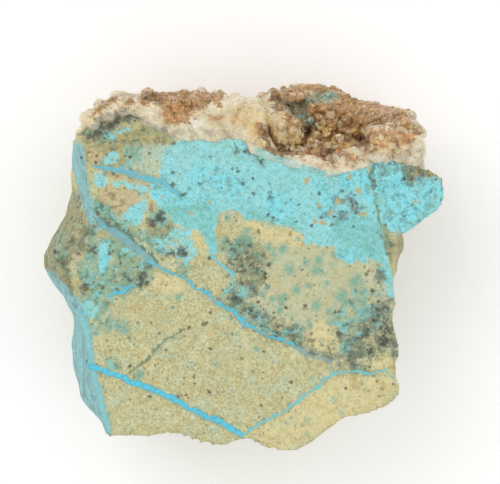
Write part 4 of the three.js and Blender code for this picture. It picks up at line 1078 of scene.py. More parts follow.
def vein_group():
    """A vein from its stored place: x across it, y its half width, z how dull it is."""
    given, made = new_group("Vein", {
        "Below": GREY, "Middle": GREY, "Edge": GREY, "Dull": GREY, "Halo": GREY, "Halo Strength": 0,
        "Place": (9, 0, 0), "Waver": 0.2, "Swell": 1, "Softness": 0.05, "Strength": 1,
        "Shift": NO_SHIFT}, "Colour", "Mask")
    place = millimetres(given["Shift"])
    split = fed("ShaderNodeSeparateXYZ", (0,), (given["Place"],))
    across, half, dull = (Field(socket) for socket in split.outputs)
    waver = noise(place, 0.9, 3.0, 0.55) - 0.5
    bent = across + waver * given["Waver"]
    wide = step_up(half, 0.4, 0.55)
    # A wide stretch swells and narrows more than a thin one.
    swell = (noise(place, 1.8) - 0.5) * given["Swell"] * (1.0 + wide * 2.0)
    depth = half - calculate("ABSOLUTE", bent) + swell
    soft = given["Softness"] * (1.0 + dull * 3.0)
    mask = step_up(depth, soft * -1.0, soft) * given["Strength"]
    gap = step_up(noise(place, 1.5, rough=0.65), 0.55, 0.6) * wide
    mask = mask * (1.0 - gap * 0.7)
    # Grey strands run along the wide stretches, and the rim is darker than the middle.
    phase = bent * 9.0 + noise(place, 0.7) * 16.0
    strand = 0.35 + step_up(calculate("SINE", phase), -0.6, 0.8) * 0.65
    rim = 1.0 - step_up(depth, -0.05, 0.26)
    fleck = step_up(noise(place, 2.2, rough=0.65), 0.44, 0.6) * 0.7
    colour = blend(largest(rim, fleck), given["Middle"], given["Edge"])
    colour = blend(strand * wide, colour, given["Dull"])
    colour = blend(dull, colour, given["Dull"])
    near = step_up(depth + waver * 2.5, -0.4, 0.1) * given["Halo Strength"]
    near = near * step_up(half, 0.0, 0.12)
    feed(made["Colour"], blend(mask, blend(near, given["Below"], given["Halo"]), colour))
    feed(made["Mask"], mask)


def speck_group():
    """Small irregular grains scattered through the rock, in loose crowds."""
    given, made = new_group("Specks", {
        "Below": GREY, "Speck": GREY, "Spacing": 1, "Share": 0.3, "Size": 0.15, "Strength": 1,
        "Shift": NO_SHIFT}, "Colour", "Mask")
    spacing = given["Spacing"]
    place = millimetres(given["Shift"])
    bent = blend(0.55, place, noise(place, 2.6, rough=0.7, output=1), "ADD")
    distance, drawn, girth, depth = cells(bent, 1.0 / spacing)
    crowd = step_up(noise(place, 0.35, 3.0), 0.4, 0.62)
    share = given["Share"] * (crowd * 1.6 + 0.2)
    radius = given["Size"] * (girth * girth + 0.35)
    grain = 1.0 - step_up(distance * spacing, radius * 0.4, radius)
    present = calculate("LESS_THAN", drawn, share)
    mask = grain * present * (given["Strength"] * (depth * 0.6 + 0.4))
    feed(made["Colour"], blend(mask, given["Below"], given["Speck"]))
    feed(made["Mask"], mask)


def mottle_group():
    """Patches of a second and a third colour. A small Edge makes them crisp."""
    given, made = new_group("Mottle", {
        "Below": GREY, "Light": GREY, "Dark": GREY, "Scale": 1, "Amount": 0.5, "Edge": 0.1,
        "Stretch": (1, 1, 1), "Shift": NO_SHIFT}, "Colour", "Value")
    drawn = fed("ShaderNodeVectorMath", (0, 1), (millimetres(given["Shift"]), given["Stretch"]),
                operation="MULTIPLY")
    value = noise(Field(drawn.outputs[0]), given["Scale"], 6.0, 0.66, 0.4) - 0.5
    start = 0.015
    full = given["Edge"] + start
    light = step_up(value, start, full) * given["Amount"]
    dark = step_up(value * -1.0, start, full) * given["Amount"]
    colour = blend(light, given["Below"], given["Light"])
    feed(made["Colour"], blend(dark, colour, given["Dark"]))
    feed(made["Value"], value)


def facet_group():
    """Small crystals side by side, each with its own shade and a raised tip."""
    given, made = new_group("Facets", {
        "Below": GREY, "Size": 0.5, "Darkest": 0.7, "Lightest": 1.2, "Shift": NO_SHIFT},
        "Colour", "Height", "Lot")
    place = millimetres(given["Shift"])
    crumpled = blend(0.3, place, noise(place, 2.0, 2.0, 0.5, output=1), "ADD")
    distance, drawn, lot, _ = cells(crumpled, 1.0 / given["Size"])
    shade = given["Darkest"] + drawn * (given["Lightest"] - given["Darkest"])
    feed(made["Colour"], blend(1.0, given["Below"], shade, "MULTIPLY"))
    feed(made["Height"], 1.0 - distance)
    feed(made["Lot"], lot)


def grain_group():
    """Height of a fine sandy grain."""
    given, made = new_group("Grain", {"Scale": 3, "Pits": 0.5, "Shift": NO_SHIFT}, "Height")
    scale = given["Scale"]
    place = millimetres(given["Shift"])
    pits = fed("ShaderNodeTexVoronoi", ("Vector", "Scale"), (place, scale * 0.8))
    pit = step_up(Field(pits.outputs["Distance"]), 0.45, 0.1) * given["Pits"]
    height = noise(place, scale, 6.0, 0.72) + noise(place, scale * 0.3, 3.0) * 0.8
    feed(made["Height"], height - pit)


def arrange(tree):
    """Sets nodes out in columns from what feeds them to what they feed."""
    column = {node: 0 for node in tree.nodes}
    for _ in range(len(tree.nodes)):
        moved = False
        for join in tree.links:
            if column[join.from_node] <= column[join.to_node]:
                column[join.from_node] = column[join.to_node] + 1
                moved = True
        if not moved:
            break
    rows = {}
    for node, place in column.items():
        rows[place] = rows.get(place, -1) + 1
        node.location = (-220 * place, -180 * rows[place])


def new_material(name, **values):
    """A material with its shader's constant values set on the shader's own sockets."""
    material = bpy.data.materials.new(name)
    material.use_nodes = True
    shader = material.node_tree.nodes["Principled BSDF"]
    for key, value in values.items():
        shader.inputs[key.replace("_", " ")].default_value = value
    return material, material.node_tree, shader.inputs


def raise_bumps(sockets, height, distance):
    """Bumps the shader's surface by a height field."""
    bump = fed("ShaderNodeBump", ("Strength", "Distance", "Height"), (1.0, distance, height))
    feed(sockets["Normal"], Field(bump.outputs[0]))


def darker(colour, share):
    """A colour with its light cut down to a share."""
    return tuple(value * share for value in colour)


def towards(colour, other, share):
    """A colour moved towards another by a share."""
    return tuple(a + (b - a) * share for a, b in zip(colour, other))


def lay_films(tree, colour, films, start, step):
    """Lays films over a colour, each where its stored cover says.

    A film is (name, colour, second colour, scale, fraying, crumbs, softness, strength). Its noise
    is moved from start by one more step for each film, so that no two films fray alike.
    """
    masks = {}
    for index, (name, film, second, scale, fraying, crumbs, softness, strength) in enumerate(films):
        shift = [at + index * by for at, by in zip(start, step)]
        colour, masks[name] = use_group(
            tree, "Stain", name, Below=colour, Film=film, Second_Film=second,
            Cover=stored(tree, name), Scale=scale, Fraying=fraying, Crumbs=crumbs,
            Softness=softness, Strength=strength, Shift=shift)
    return colour, masks


def lay_specks(tree, colour, kinds, bare=None):
    """Lays kinds of grains over a colour: (colour, spacing, share, size, strength, shift)."""
    for speck, spacing, share, size, strength, shift in kinds:
        colour, _ = use_group(
            tree, "Specks", Below=colour, Speck=speck, Spacing=spacing, Share=share, Size=size,
            Strength=bare * strength if bare else strength, Shift=shift)
    return colour


def lay_mottles(tree, colour, layers):
    """Lays patches over a colour, each layer within its mask.

    A layer is (mask or None, light colour, dark colour, scale, amount, edge, shift). A colour of
    None is the colour below.
    """
    for mask, light, dark, scale, amount, edge, shift in layers:
        patched, _ = use_group(tree, "Mottle", Below=colour, Light=light or colour, Dark=dark,
                               Scale=scale, Amount=amount, Edge=edge, Shift=shift)
        colour = blend(mask, colour, patched) if mask else patched
    return colour


# ------------------------------------------------------------------ materials

def rock_material(s):
    """Tan clay rock under films, veins and grains."""
    material, tree, sockets = new_material("Veined rock", Roughness=0.72, Specular_IOR_Level=0.3)

    colour, _ = use_group(tree, "Mottle", Below=s.tan, Light=towards(s.tan, s.ochre, 0.5),
                          Dark=towards(s.tan, s.washed, 0.45), Scale=0.42, Amount=0.8, Edge=0.1)
    colour = lay_mottles(tree, colour, [
        (None, s.pale, towards(s.tan, s.ochre, 0.6), 1.0, 0.5, 0.07, (31, 7, 3)),
        (None, towards(s.pale, s.washed, 0.3), towards(s.tan, s.olive, 0.8), 3.4, 0.55, 0.07,
         (3, 17, 23))])

    colour, masks = lay_films(tree, colour, [
        # name, film, second film, scale, fraying, crumbs, softness, strength
        ("chalk", s.chalk, towards(s.chalk, s.tan, 0.5), 0.6, 5.0, 1.0, 1.2, 0.75),
        ("pale", s.pale, towards(s.pale, s.ochre, 0.3), 0.9, 4.0, 1.0, 0.8, 0.8),
        ("olive", darker(s.olive, 0.94), towards(s.olive, s.ochre, 0.35), 1.0, 6.0, 2.0, 0.9, 0.85),
        ("ochre", s.ochre, towards(s.ochre, s.olive, 0.5), 1.2, 5.0, 2.0, 0.6, 0.7),
        ("peach", s.peach, towards(s.peach, s.tan, 0.6), 1.2, 4.5, 2.0, 0.6, 0.85),
        ("lilac", towards(s.peach, GREY_LILAC, 0.6), s.peach, 1.2, 4.0, 2.0, 0.5, 0.9),
        ("dust", s.dust, towards(darker(s.ochre, 0.6), s.olive, 0.5), 0.8, 5.0, 3.0, 0.8, 0.85),
        ("green", s.green, towards(s.green, s.teal, 0.6), 0.9, 7.0, 2.5, 1.0, 0.92),
        ("spots", towards(s.teal, s.green, 0.4), towards(s.teal, s.green, 0.8), 1.8, 3.0, 1.5, 0.9,
         0.9),
        ("turquoise", s.turquoise, towards(s.turquoise, s.washed, 0.3), 1.3, 5.0, 2.5, 0.45, 0.96),
        ("washed", s.washed, towards(s.washed, s.turquoise, 0.5), 1.0, 5.0, 2.5, 0.9, 0.5),
        ("teal", s.teal, towards(s.teal, s.turquoise, 0.35), 1.0, 6.0, 2.5, 0.9, 0.8),
        ("bright", s.bright, towards(s.bright, s.turquoise, 0.3), 1.0, 8.0, 3.0, 0.5, 0.95),
        ("strip", s.strip, darker(s.strip, 0.86), 0.9, 3.0, 1.0, 0.7, 0.95),
        ("soot", darker(s.soot, 0.8), towards(s.soot, s.green, 0.5), 0.7, 9.0, 4.0, 1.2, 0.84),
        ("dots", darker(s.ochre, 0.85), s.ochre, 2.0, 3.0, 2.0, 0.5, 0.95),
    ], (0, 0, 5), (7.3, 3.1, 0))

    # Crisp lighter and darker patches inside the blue film, the green rock, the clay and the dust.
    bared = 1.0 - masks["turquoise"]
    film = masks["turquoise"] * (1.0 - largest(masks["soot"], masks["dots"]))
    green = largest(masks["green"], masks["olive"]) * bared
    clay = largest(masks["peach"], masks["ochre"], masks["pale"]) * bared
    busy = 0.2 + masks["bright"] * 0.65
    colour = lay_mottles(tree, colour, [
        # mask, light, dark, scale, amount, edge, shift
        (film, s.bright, towards(s.teal, s.washed, 0.3), 0.6, busy, 0.06, (9, 2, 41)),
        (film, towards(s.turquoise, s.bright, 0.6), towards(s.teal, s.green, 0.2), 1.5, 0.45, 0.08,
         (29, 12, 4)),
        (film, towards(s.bright, (1, 1, 1), 0.25), darker(s.teal, 0.85), 3.6, 0.42, 0.09,
         (6, 18, 54)),
        (film, s.turquoise, DARK_GREEN, 1.4, busy * 0.6, 0.05, (2, 47, 14)),
        (green, towards(s.ochre, s.olive, 0.4), towards(s.green, s.teal, 0.3), 0.5, 0.55, 0.07,
         (5, 9, 1)),
        (green, towards(s.green, s.pale, 0.3), darker(s.green, 0.42), 0.9, 0.85, 0.09, (7, 31, 2)),
        (masks["green"], None, s.turquoise, 0.9, 0.5, 0.05, (17, 3, 26)),
        (clay, towards(s.pale, s.peach, 0.3), towards(s.olive, s.ochre, 0.4), 1.2, 0.5, 0.08,
         (19, 5, 33)),
        (clay, s.pale, darker(s.ochre, 0.8), 3.0, 0.35, 0.08, (3, 25, 9)),
        (masks["peach"], s.peach, darker(towards(s.ochre, s.soot, 0.5), 0.6), 0.9, 0.7, 0.06,
         (23, 9, 1)),
        (masks["dust"], towards(s.ochre, s.dust, 0.4), darker(towards(s.olive, s.soot, 0.5), 0.5),
         1.0, 0.8, 0.07, (5, 14, 37)),
        (masks["dust"], towards(s.green, s.washed, 0.3), darker(s.ochre, 0.6), 2.2, 0.6, 0.08,
         (12, 2, 19)),
    ])

    # The strip is streaked along its length. Sooty rock has dark clouds and crowded dark grains.
    streaks, _ = use_group(tree, "Mottle", Below=colour, Light=towards(s.strip, s.bright, 0.35),
                           Dark=towards(s.strip, s.soot, 0.55), Scale=0.9, Amount=0.6, Edge=0.09,
                           Stretch=(1.8, 0.45, 0.6), Shift=(2, 2, 8))
    colour = blend(masks["strip"], colour, streaks)
    colour = lay_mottles(tree, colour, [
        (masks["soot"], None, darker(s.soot, 0.35), 0.6, 0.85, 0.09, (41, 3, 8))])
    colour = lay_specks(tree, colour, [
        (SOFT_BLACK, 0.7, 0.08 + masks["soot"] * 0.35, 0.34, 0.8, (11, 5, 2))])

    # The pale and the bright blue fillings of the veins, then thin dark seams over them.
    colour, pale_veins = use_group(
        tree, "Vein", Below=colour, Middle=towards(s.vein, s.washed, 0.5),
        Edge=towards(s.vein, s.teal, 0.7), Dull=s.strip, Halo=s.green, Halo_Strength=0.35,
        Waver=0.8, Swell=0.4, Softness=0.1, Place=stored(tree, "light_veins", "Vector"))
    colour, blue_veins = use_group(
        tree, "Vein", Below=colour, Middle=s.vein, Edge=towards(darker(s.vein, 0.65), s.teal, 0.3),
        Dull=towards(s.strip, s.soot, 0.3), Halo=towards(s.green, s.soot, 0.5), Halo_Strength=0.35,
        Waver=0.9, Swell=0.7, Softness=0.12, Place=stored(tree, "blue_veins", "Vector"))
    colour, _ = use_group(
        tree, "Vein", Below=colour, Middle=s.hairline, Edge=darker(s.hairline, 0.8),
        Dull=darker(s.soot, 0.5), Halo=s.green, Halo_Strength=0.2, Waver=1.2, Swell=1.2,
        Softness=0.16, Strength=0.75, Place=stored(tree, "dark_veins", "Vector"))
    veins = largest(blue_veins, pale_veins)

    # Green blots in the chalky rock, then black, brown, grey, pale and green grains.
    colour = lay_specks(tree, colour, [
        (towards(s.teal, s.green, 0.5), 1.4, 0.5, 0.75, 0.8, (8, 44, 3))], masks["chalk"])
    bare = (1.0 - veins * 0.9) * (1.0 - film * 0.5)
    colour = lay_specks(tree, colour, [
        # colour, spacing, share, size, strength, shift
        ((0.07, 0.05, 0.035), 1.2, 0.26, 0.27, 0.85, (1, 55, 2)),
        ((0.15, 0.095, 0.05), 0.6, 0.26, 0.22, 0.8, (2, 13, 7)),
        ((0.14, 0.13, 0.10), 0.36, 0.36, 0.17, 0.65, (5, 1, 19)),
        ((0.82, 0.80, 0.70), 0.6, 0.25, 0.16, 0.5, (17, 3, 11)),
        (towards(s.teal, s.green, 0.4), 1.5, 0.3, 0.6, 0.5, (23, 29, 1)),
    ], bare)
    colour, single = use_group(
        tree, "Stain", "single grains", Below=colour, Film=(0.06, 0.055, 0.045),
        Second_Film=(0.14, 0.12, 0.09), Cover=stored(tree, "grains"), Scale=2.0, Fraying=4.0,
        Crumbs=2.0, Softness=0.4, Strength=0.8)

    # Broken sides and back are duller and dusty, but for the strip.
    dusty = lay_mottles(tree, colour, [
        (None, towards(s.pale, (0.8, 0.78, 0.7), 0.4), towards(s.olive, s.soot, 0.5), 0.8, 0.75,
         0.1, (13, 37, 5)),
        (None, towards(s.pale, s.dust, 0.4), darker(towards(s.ochre, s.soot, 0.5), 0.6), 2.2, 0.6,
         0.08, (5, 51, 7))])
    share = stored(tree, "side") * (0.75 - masks["strip"] * 0.6)
    feed(sockets["Base Color"], blend(share, colour, dusty))

    feed(sockets["Roughness"], 0.8 - veins * 0.2 - masks["turquoise"] * 0.08)
    grain, = use_group(tree, "Grain", Scale=2.6, Pits=0.5)
    raise_bumps(sockets, grain + veins * 0.25 - single * 0.5, 0.14 * MM)
    arrange(tree)
    return material


def quartz_material(name, s, roughness, clear, stain_share):
    """Milky to brown quartz: a tone at each crystal, stains over it, and stain with painted shade
    in its hollows.
    """
    material, tree, sockets = new_material(
        name, Roughness=roughness, Subsurface_Weight=clear, Subsurface_Radius=(0.9, 0.75, 0.55),
        Subsurface_Scale=0.6 * MM, Specular_IOR_Level=0.5, Coat_Weight=0.35, Coat_Roughness=0.15)

    # Tone runs from brown over orange, honey and cream to white.
    tones = fed("ShaderNodeValToRGB", (0,), (stored(tree, "tone"),), label="Tone")
    steps = [(0.0, s.umber), (0.12, s.iron), (0.26, s.orange), (0.4, s.honey),
             (0.52, towards(s.honey, s.cream, 0.5)), (0.64, towards(s.lilac, s.cream, 0.6)),
             (0.76, s.cream), (1.0, s.white)]
    while len(tones.color_ramp.elements) < len(steps):
        tones.color_ramp.elements.new(1.0)
    for element, (place, colour) in zip(tones.color_ramp.elements, steps):
        element.position, element.color = place, (*colour, 1)
    colour = lay_mottles(tree, Field(tones.outputs[0]), [
        # mask, light, dark, scale, amount, edge, shift
        (None, towards(s.cream, s.white, 0.7), towards(s.cream, s.lilac, 0.5), 0.5, 0.3, 0.1,
         NO_SHIFT),
        (None, towards(s.cream, s.honey, 0.3), towards(s.cream, s.honey, 0.7), 1.3, 0.3, 0.06,
         (7, 21, 3)),
    ])

    colour, masks = lay_films(tree, colour, [
        # name, film, second film, scale, fraying, crumbs, softness, strength
        ("honey", towards(s.honey, s.cream, 0.2), towards(s.honey, s.cream, 0.65), 0.8, 6.0, 3.0,
         1.0, 0.9),
        # Grey quartz, and one band of painted shade along the rind's foot.
        ("lilac", s.lilac, towards(s.lilac, s.moss, 0.5), 0.8, 6.0, 3.0, 0.8, 0.75),
        ("iron", s.iron, towards(s.iron, s.orange, 0.55), 0.9, 9.0, 3.0, 0.7, stain_share),
        ("orange", s.orange, towards(s.orange, s.iron, 0.5), 0.9, 7.0, 3.0, 0.7, 0.7),
        # Umber: brown stain, and painted shade in some recesses.
        ("umber", s.umber, towards(s.umber, s.iron, 0.4), 1.0, 7.0, 3.0, 0.8, 0.9),
        ("moss", s.moss, towards(s.moss, s.umber, 0.4), 1.0, 6.0, 3.0, 0.6, 0.85),
        ("green", s.green, towards(s.green, s.moss, 0.4), 1.2, 8.0, 3.0, 0.6, 0.9),
        ("turquoise", s.turquoise, towards(s.turquoise, s.green, 0.4), 1.4, 5.0, 3.0, 0.35, 0.95),
    ], (0, 3, 0), (5.7, 0, 2.9))

    # Painted shade and stain darken the hollows, and a painted highlight with worn-off stain
    # lightens the peaks.
    deep = stored(tree, "hollow")
    brown = largest(masks["iron"], masks["umber"])
    colour = blend(step_up(deep, 0.02, 0.25) * (0.35 + brown * 0.5), colour,
                   towards(s.iron, s.honey, 0.6), "MULTIPLY")
    # The peaks are lightened: painted highlight, and stain worn off the tips.
    colour = blend(step_up(deep, -0.05, -0.25) * (0.4 - brown * 0.35), colour,
                   towards(s.cream, s.white, 0.5))
    colour = lay_specks(tree, colour, [
        # colour, spacing, share, size, strength, shift
        (darker(s.umber, 0.6), 0.9, 0.25, 0.25, 0.6, (3, 8, 1)),
        (s.orange, 0.8, 0.3, 0.35, 0.3, (9, 1, 6)),
        (s.white, 0.7, 0.3, 0.24, 0.4, (4, 14, 9)),
    ])
    shades = {"Darkest": 0.9 - brown * 0.2, "Lightest": 1.08 + brown * 0.22}
    colour, coarse, _ = use_group(tree, "Facets", Below=colour, Size=0.8, Shift=(2, 6, 1), **shades)
    colour, fine, lot = use_group(tree, "Facets", Below=colour, Size=0.36, Shift=(8, 1, 4),
                                  **shades)
    feed(sockets["Base Color"], colour)
    feed(sockets["Roughness"], lot * (roughness * 0.9) + roughness * 0.4)
    grain, = use_group(tree, "Grain", Scale=1.8, Pits=0.25, Shift=(3, 3, 3))
    raise_bumps(sockets, grain + coarse * 0.9 + fine * 0.5, 0.2 * MM)
    arrange(tree)
    return material


def floor_material(s):
    material, tree, sockets = new_material(
        "Plain floor", Roughness=0.9, Emission_Color=(1, 1, 1, 1), Emission_Strength=0.09)
    haze, _ = use_group(tree, "Mottle", Below=s.floor_colour, Light=s.floor_colour,
                        Dark=darker(s.floor_colour, 0.985), Scale=0.02, Amount=1.0)
    feed(sockets["Base Color"], haze)
    arrange(tree)
    return material


def make_groups():
    """Builds the shared node groups once."""
    builders = {"Stain": stain_group, "Vein": vein_group, "Specks": speck_group,
                "Mottle": mottle_group, "Facets": facet_group, "Grain": grain_group}
    for name, build in builders.items():
        if name not in bpy.data.node_groups:
            build()
            arrange(bpy.data.node_groups[name])


# ------------------------------------------------------------------ pieces

def paint_films(piece, films, at, down, side_cover, seed, lower=None):
    """Keeps the cover of each film: as drawn on the open face, and by chance lower down.

    Down is how far each vertex counts as lower down, and lower holds other values for single films.
    Side_cover is how likely a film is there.
    """
    places = vertex_places(piece)
    for index, (name, stains) in enumerate(films.items()):
        share = (lower or {}).get(name, down)
        chance = side_cover.get(name, RARE) + 0.9 * cloud(places, 5, seed + index)
        store(piece, name, film_cover(stains, *at) * (1 - share) + chance * share)


def paint_rock(piece):
    """Keeps every film, vein and grain of the rock at its vertices."""
    places = vertex_places(piece)
    across, up, height = places.T
    # Films lean outwards down the sides. They wander there, so that none ends in a straight line.
    drift = 0.3 * np.maximum(0, SHOULDER - height)
    below = np.clip((EDGE - height) / 3, 0, 1) * np.clip((across + 16) / 4, 0, 1)
    sway = 0.6 * np.minimum(1, drift) + 1.1 * below
    x = across + drift * 0.35 + sway * cloud(places, 4, 1) + below * cloud(places, 1.5, 5)
    y = up - drift * 0.2 + sway * cloud(places, 4, 2) + below * cloud(places, 1.5, 6)
    down = (SHOULDER - height) / 7 + 0.3 * cloud(places, 2.6, 3)
    down = np.clip(down, 0, 1) * (height < SHOULDER + 1.5)
    # The strip's coat reaches further down than the other films.
    strip = np.clip((SHOULDER - 4 - height) / 6 + 0.35 * cloud(places, 2.2, 4), 0, 1)
    paint_films(piece, FILMS, (x, y), down, {
        "turquoise": -2.0, "teal": -1.6, "green": -1.3, "olive": -0.5, "ochre": -0.7, "soot": -1.3,
        "pale": -0.5, "dust": -0.2, "chalk": -0.6, "strip": -2.0, "peach": -0.8},
        10, {"strip": strip})

    for name, spots, less in [("spots", SPOTS, 0), ("grains", GRAINS, 0.3), ("dots", DOTS, 0)]:
        store(piece, name, spot_cover(spots, x, y) - less - 3 * down)
    for name, veins in VEINS.items():
        side, half = vein_place(veins, x, y)
        dull = blue_dullness(x, y) if name == "blue" else 0.6 * (x < -16)
        dull = np.clip(down + dull, 0, 1)
        store(piece, name + "_veins", np.stack([side, half - 0.16 * down, dull], axis=1))
    store(piece, "side", down)


def blue_dullness(x, y):
    """How dull the blue veins are: two stretches of the long vein, and the upper veins a little."""
    first = np.clip(1.3 - np.hypot(x + 3.9, y + 4.5), 0, 1)
    last = np.clip((x - 6.5) / 1.5, 0, 1) * np.clip((y + 15.5) / 1.5, 0, 1)
    upper = np.clip(y + 1, 0, 1)
    return 0.8 * first + 0.8 * last + 0.35 * upper


def paint_rind(piece, rounds=24, tones=None):
    """Keeps every stain, with the painted shade among them, and the tone and hollowness of the
    quartz at its vertices.
    """
    places = vertex_places(piece)
    across, up, height = places.T
    # The hollow is deep but open, so it keeps the drawn stains. The outer sides lose them.
    hollow = (np.abs(across - 10) < 9) & (up < 20.5) & (height > 4)
    shoulder = RIND_SHOULDER - 6 * np.clip((across - 4) / 3, 0, 1)
    drift = 2 * np.clip((shoulder + 2 - height) / 5, 0, 1) * ~hollow
    at = across + drift * cloud(places, 3.5, 1), up + drift * cloud(places, 3.5, 2)
    down = (shoulder - height) / 6 + 0.4 * cloud(places, 2.5, 3)
    down = np.clip(down, 0, 1) * (height < shoulder + 1.5) * ~hollow
    paint_films(piece, RIND_FILMS, at, down, {
        "iron": -0.1, "umber": -1.2, "orange": -0.9, "lilac": -0.7, "moss": -1.3}, 30)
    if tones is None:
        tones = 0.8 + 0.22 * cloud(places, 1.6, 8) + 0.12 * cloud(places, 0.6, 9)
    store(piece, "tone", np.clip(tones, 0, 1))
    # How hollow each vertex is drives painted shade in the hollows and a painted highlight on the
    # peaks.
    store(piece, "hollow", hollowness(piece, rounds) if rounds else np.zeros(len(places)))


def push(piece, name, weights, distance):
    """Pushes a piece out along its normals, by a distance in millimetres times the weights."""
    weigh(piece, name, weights)
    apply_modifier(piece, "DISPLACE", "Full " + name.lower(), strength=distance * MM, mid_level=0,
                   vertex_group=name)


class SPECIMEN_OT_rock(bpy.types.Operator):
    """Build the veined host rock"""

    bl_idname = "specimen.rock"
    bl_label = "Veined rock"

    def execute(self, context):
        settings = context.scene.rock_settings
        piece = copy_of_node("matrix", "rock")
        # The rock's hidden side is pushed a little into the rind, to close the joint.
        select_faces(piece, lambda centre, normal:
                     normal.y > 0.45 and centre.y > HIDDEN_UP and centre.z > HIDDEN_HEIGHT)
        bpy.ops.transform.translate(value=(0, ROCK_INTO_RIND * MM, 0))
        apply_modifier(piece, "REMESH", "Even squares", mode="VOXEL", voxel_size=settings.detail)
        # The show face gets a finer mesh, because thin veins cross it.
        select_faces(piece, lambda centre, normal: centre.z > 22.4 and normal.z > 0.35)
        bpy.ops.mesh.subdivide(number_cuts=1, smoothness=0)
        apply_modifier(piece, "SMOOTH", "Soft corners", factor=0.5, iterations=3)

        (_, up, height), (right, back, upward) = vertex_places(piece).T, vertex_normals(piece).T
        low = np.clip(height / 0.6, 0, 1)
        face = np.clip((height - 21.8) / 0.8, 0, 1) * np.clip(upward * 1.6, 0, 1)
        in_sight = ~((back > 0.35) & (up > HIDDEN_UP) & (height > HIDDEN_HEIGHT))
        weigh(piece, "Sides", (1 - face) * low * np.clip((19 - height) / 8, 0.35, 1) * in_sight)
        weigh(piece, "Face", face)
        outward = np.hypot(right, back) * np.where(right < -0.3, 1, 0.65)
        push(piece, "Outline", outward * low * in_sight, OUTLINE_PUSH)
        side, top = settings.side_relief, settings.face_relief
        relief(piece, "Broken plates", "VORONOI", 3.4, side, 0.6, "Sides",
               weight_1=-1.0, weight_2=1.0, distance_metric="DISTANCE")
        relief(piece, "Hackly breaks", "CLOUDS", 1.5, side * 0.55, 0.55, "Sides", noise_depth=3)
        relief(piece, "Waves", "CLOUDS", 2.6, top * 1.2, 1.0, "Face", noise_depth=2)
        relief(piece, "Sugary face", "CLOUDS", 0.55, top * 0.55, 0.5, "Face", noise_depth=3)
        relief(piece, "Sandy sides", "CLOUDS", 0.5, top * 0.9, 0.6, "Sides", noise_depth=2)
        keep_in_box(piece)
        bpy.ops.object.shade_smooth()
        paint_rock(piece)
        finish_piece(piece, rock_material(settings), "rock", "matrix")
        return {"FINISHED"}


class SPECIMEN_OT_rind(bpy.types.Operator):
    """Build the lumpy quartz rind along the edge"""

    bl_idname = "specimen.rind"
    bl_label = "Quartz rind"

    def execute(self, context):
        settings = context.scene.quartz_settings
        piece = copy_of_node("quartz_crust", "quartz_rind")
        lumps = []
        for x, y, radius, rise in RIND_LUMPS:
            struck = drop_on(piece, x, y)
            if struck is None:
                continue
            middle = struck.z - (1 - rise) * radius * MM
            bpy.ops.mesh.primitive_ico_sphere_add(
                subdivisions=3, radius=radius * MM, location=(x * MM, y * MM, middle))
            lumps.append(context.object)
            only(piece)
        # The rind grew on the rock, so its inner side is pushed on to close the joint.
        select_faces(piece, lambda centre, normal: normal.y < -0.45 and centre.y < 18)
        bpy.ops.transform.translate(value=(0, -RIND_INTO_ROCK * MM, 0))
        only(piece)
        for lump in lumps:
            lump.select_set(True)
        bpy.ops.object.join()
        apply_modifier(piece, "REMESH", "Even squares", mode="VOXEL", voxel_size=settings.detail)
        apply_modifier(piece, "SMOOTH", "Soft corners", factor=0.5, iterations=6)

        places = vertex_places(piece)
        (across, up, height), (_, back, upward) = places.T, vertex_normals(piece).T
        in_sight = ~((back < -0.35) & (up < 18.5) & (upward < 0.25))
        stained = film_cover(RIND_FILMS["iron"], across, up)
        sugary = np.clip(0.55 + 0.3 * stained + 0.4 * cloud(places, 3.2, 6), 0.25, 1)
        sugary *= np.clip((height - 9) / 6, 0.3, 1)
        # The slope behind the hollow is smoother than the rest.
        slope = np.clip((across - 8) / 4, 0, 1) * np.clip((up - 16.5) / 2, 0, 1)
        grown = np.clip((height - 1) / 2, 0.2, 1) * (1 - 0.75 * slope)
        sugary *= 1 - 0.3 * slope
        crown = np.clip((across - 6) / 2, 0, 1) * np.clip(back * 1.5, 0, 1)
        push(piece, "Crown", crown, CROWN_PUSH)
        weigh(piece, "Grown", grown * in_sight)
        weigh(piece, "Sugary", grown * sugary * in_sight)
        relief(piece, "Lumps", "VORONOI", 2.1, -settings.lump_relief, 0.45, "Grown",
               distance_metric="DISTANCE_SQUARED")
        relief(piece, "Crystal tips", "VORONOI", 0.8, -settings.sugar_relief, 0.4, "Sugary",
               distance_metric="DISTANCE")
        relief(piece, "Fine sugar", "CLOUDS", 0.4, settings.sugar_relief * 0.4, 0.5, "Sugary",
               noise_depth=2)
        keep_in_box(piece)
        bpy.ops.object.shade_smooth()
        paint_rind(piece)
        material = quartz_material("Quartz rind", settings, roughness=0.4, clear=0.2,
                                   stain_share=0.9)
        finish_piece(piece, material, "quartz", "quartz_crust")
        return {"FINISHED"}


def model_point():
    """One six-sided quartz point, one unit wide and tall: a prism drawn in to a blunt tip."""
    bpy.ops.object.select_all(action="DESELECT")
    bpy.ops.mesh.primitive_cylinder_add(vertices=6, radius=0.5, depth=0.5, location=(0, 0, 0.25),
                                        end_fill_type="NGON")
    bpy.ops.object.transform_apply(location=True, rotation=True, scale=True)
    point = bpy.context.object
    select_faces(point, lambda centre, normal: normal.z > 0.9)
    bpy.ops.mesh.extrude_region_move(TRANSFORM_OT_translate={"value": (0, 0, 0.5)})
    bpy.ops.transform.resize(value=(0.12, 0.3, 1), center_override=(0, 0, 1.0))
    bpy.ops.object.mode_set(mode="OBJECT")
    return point


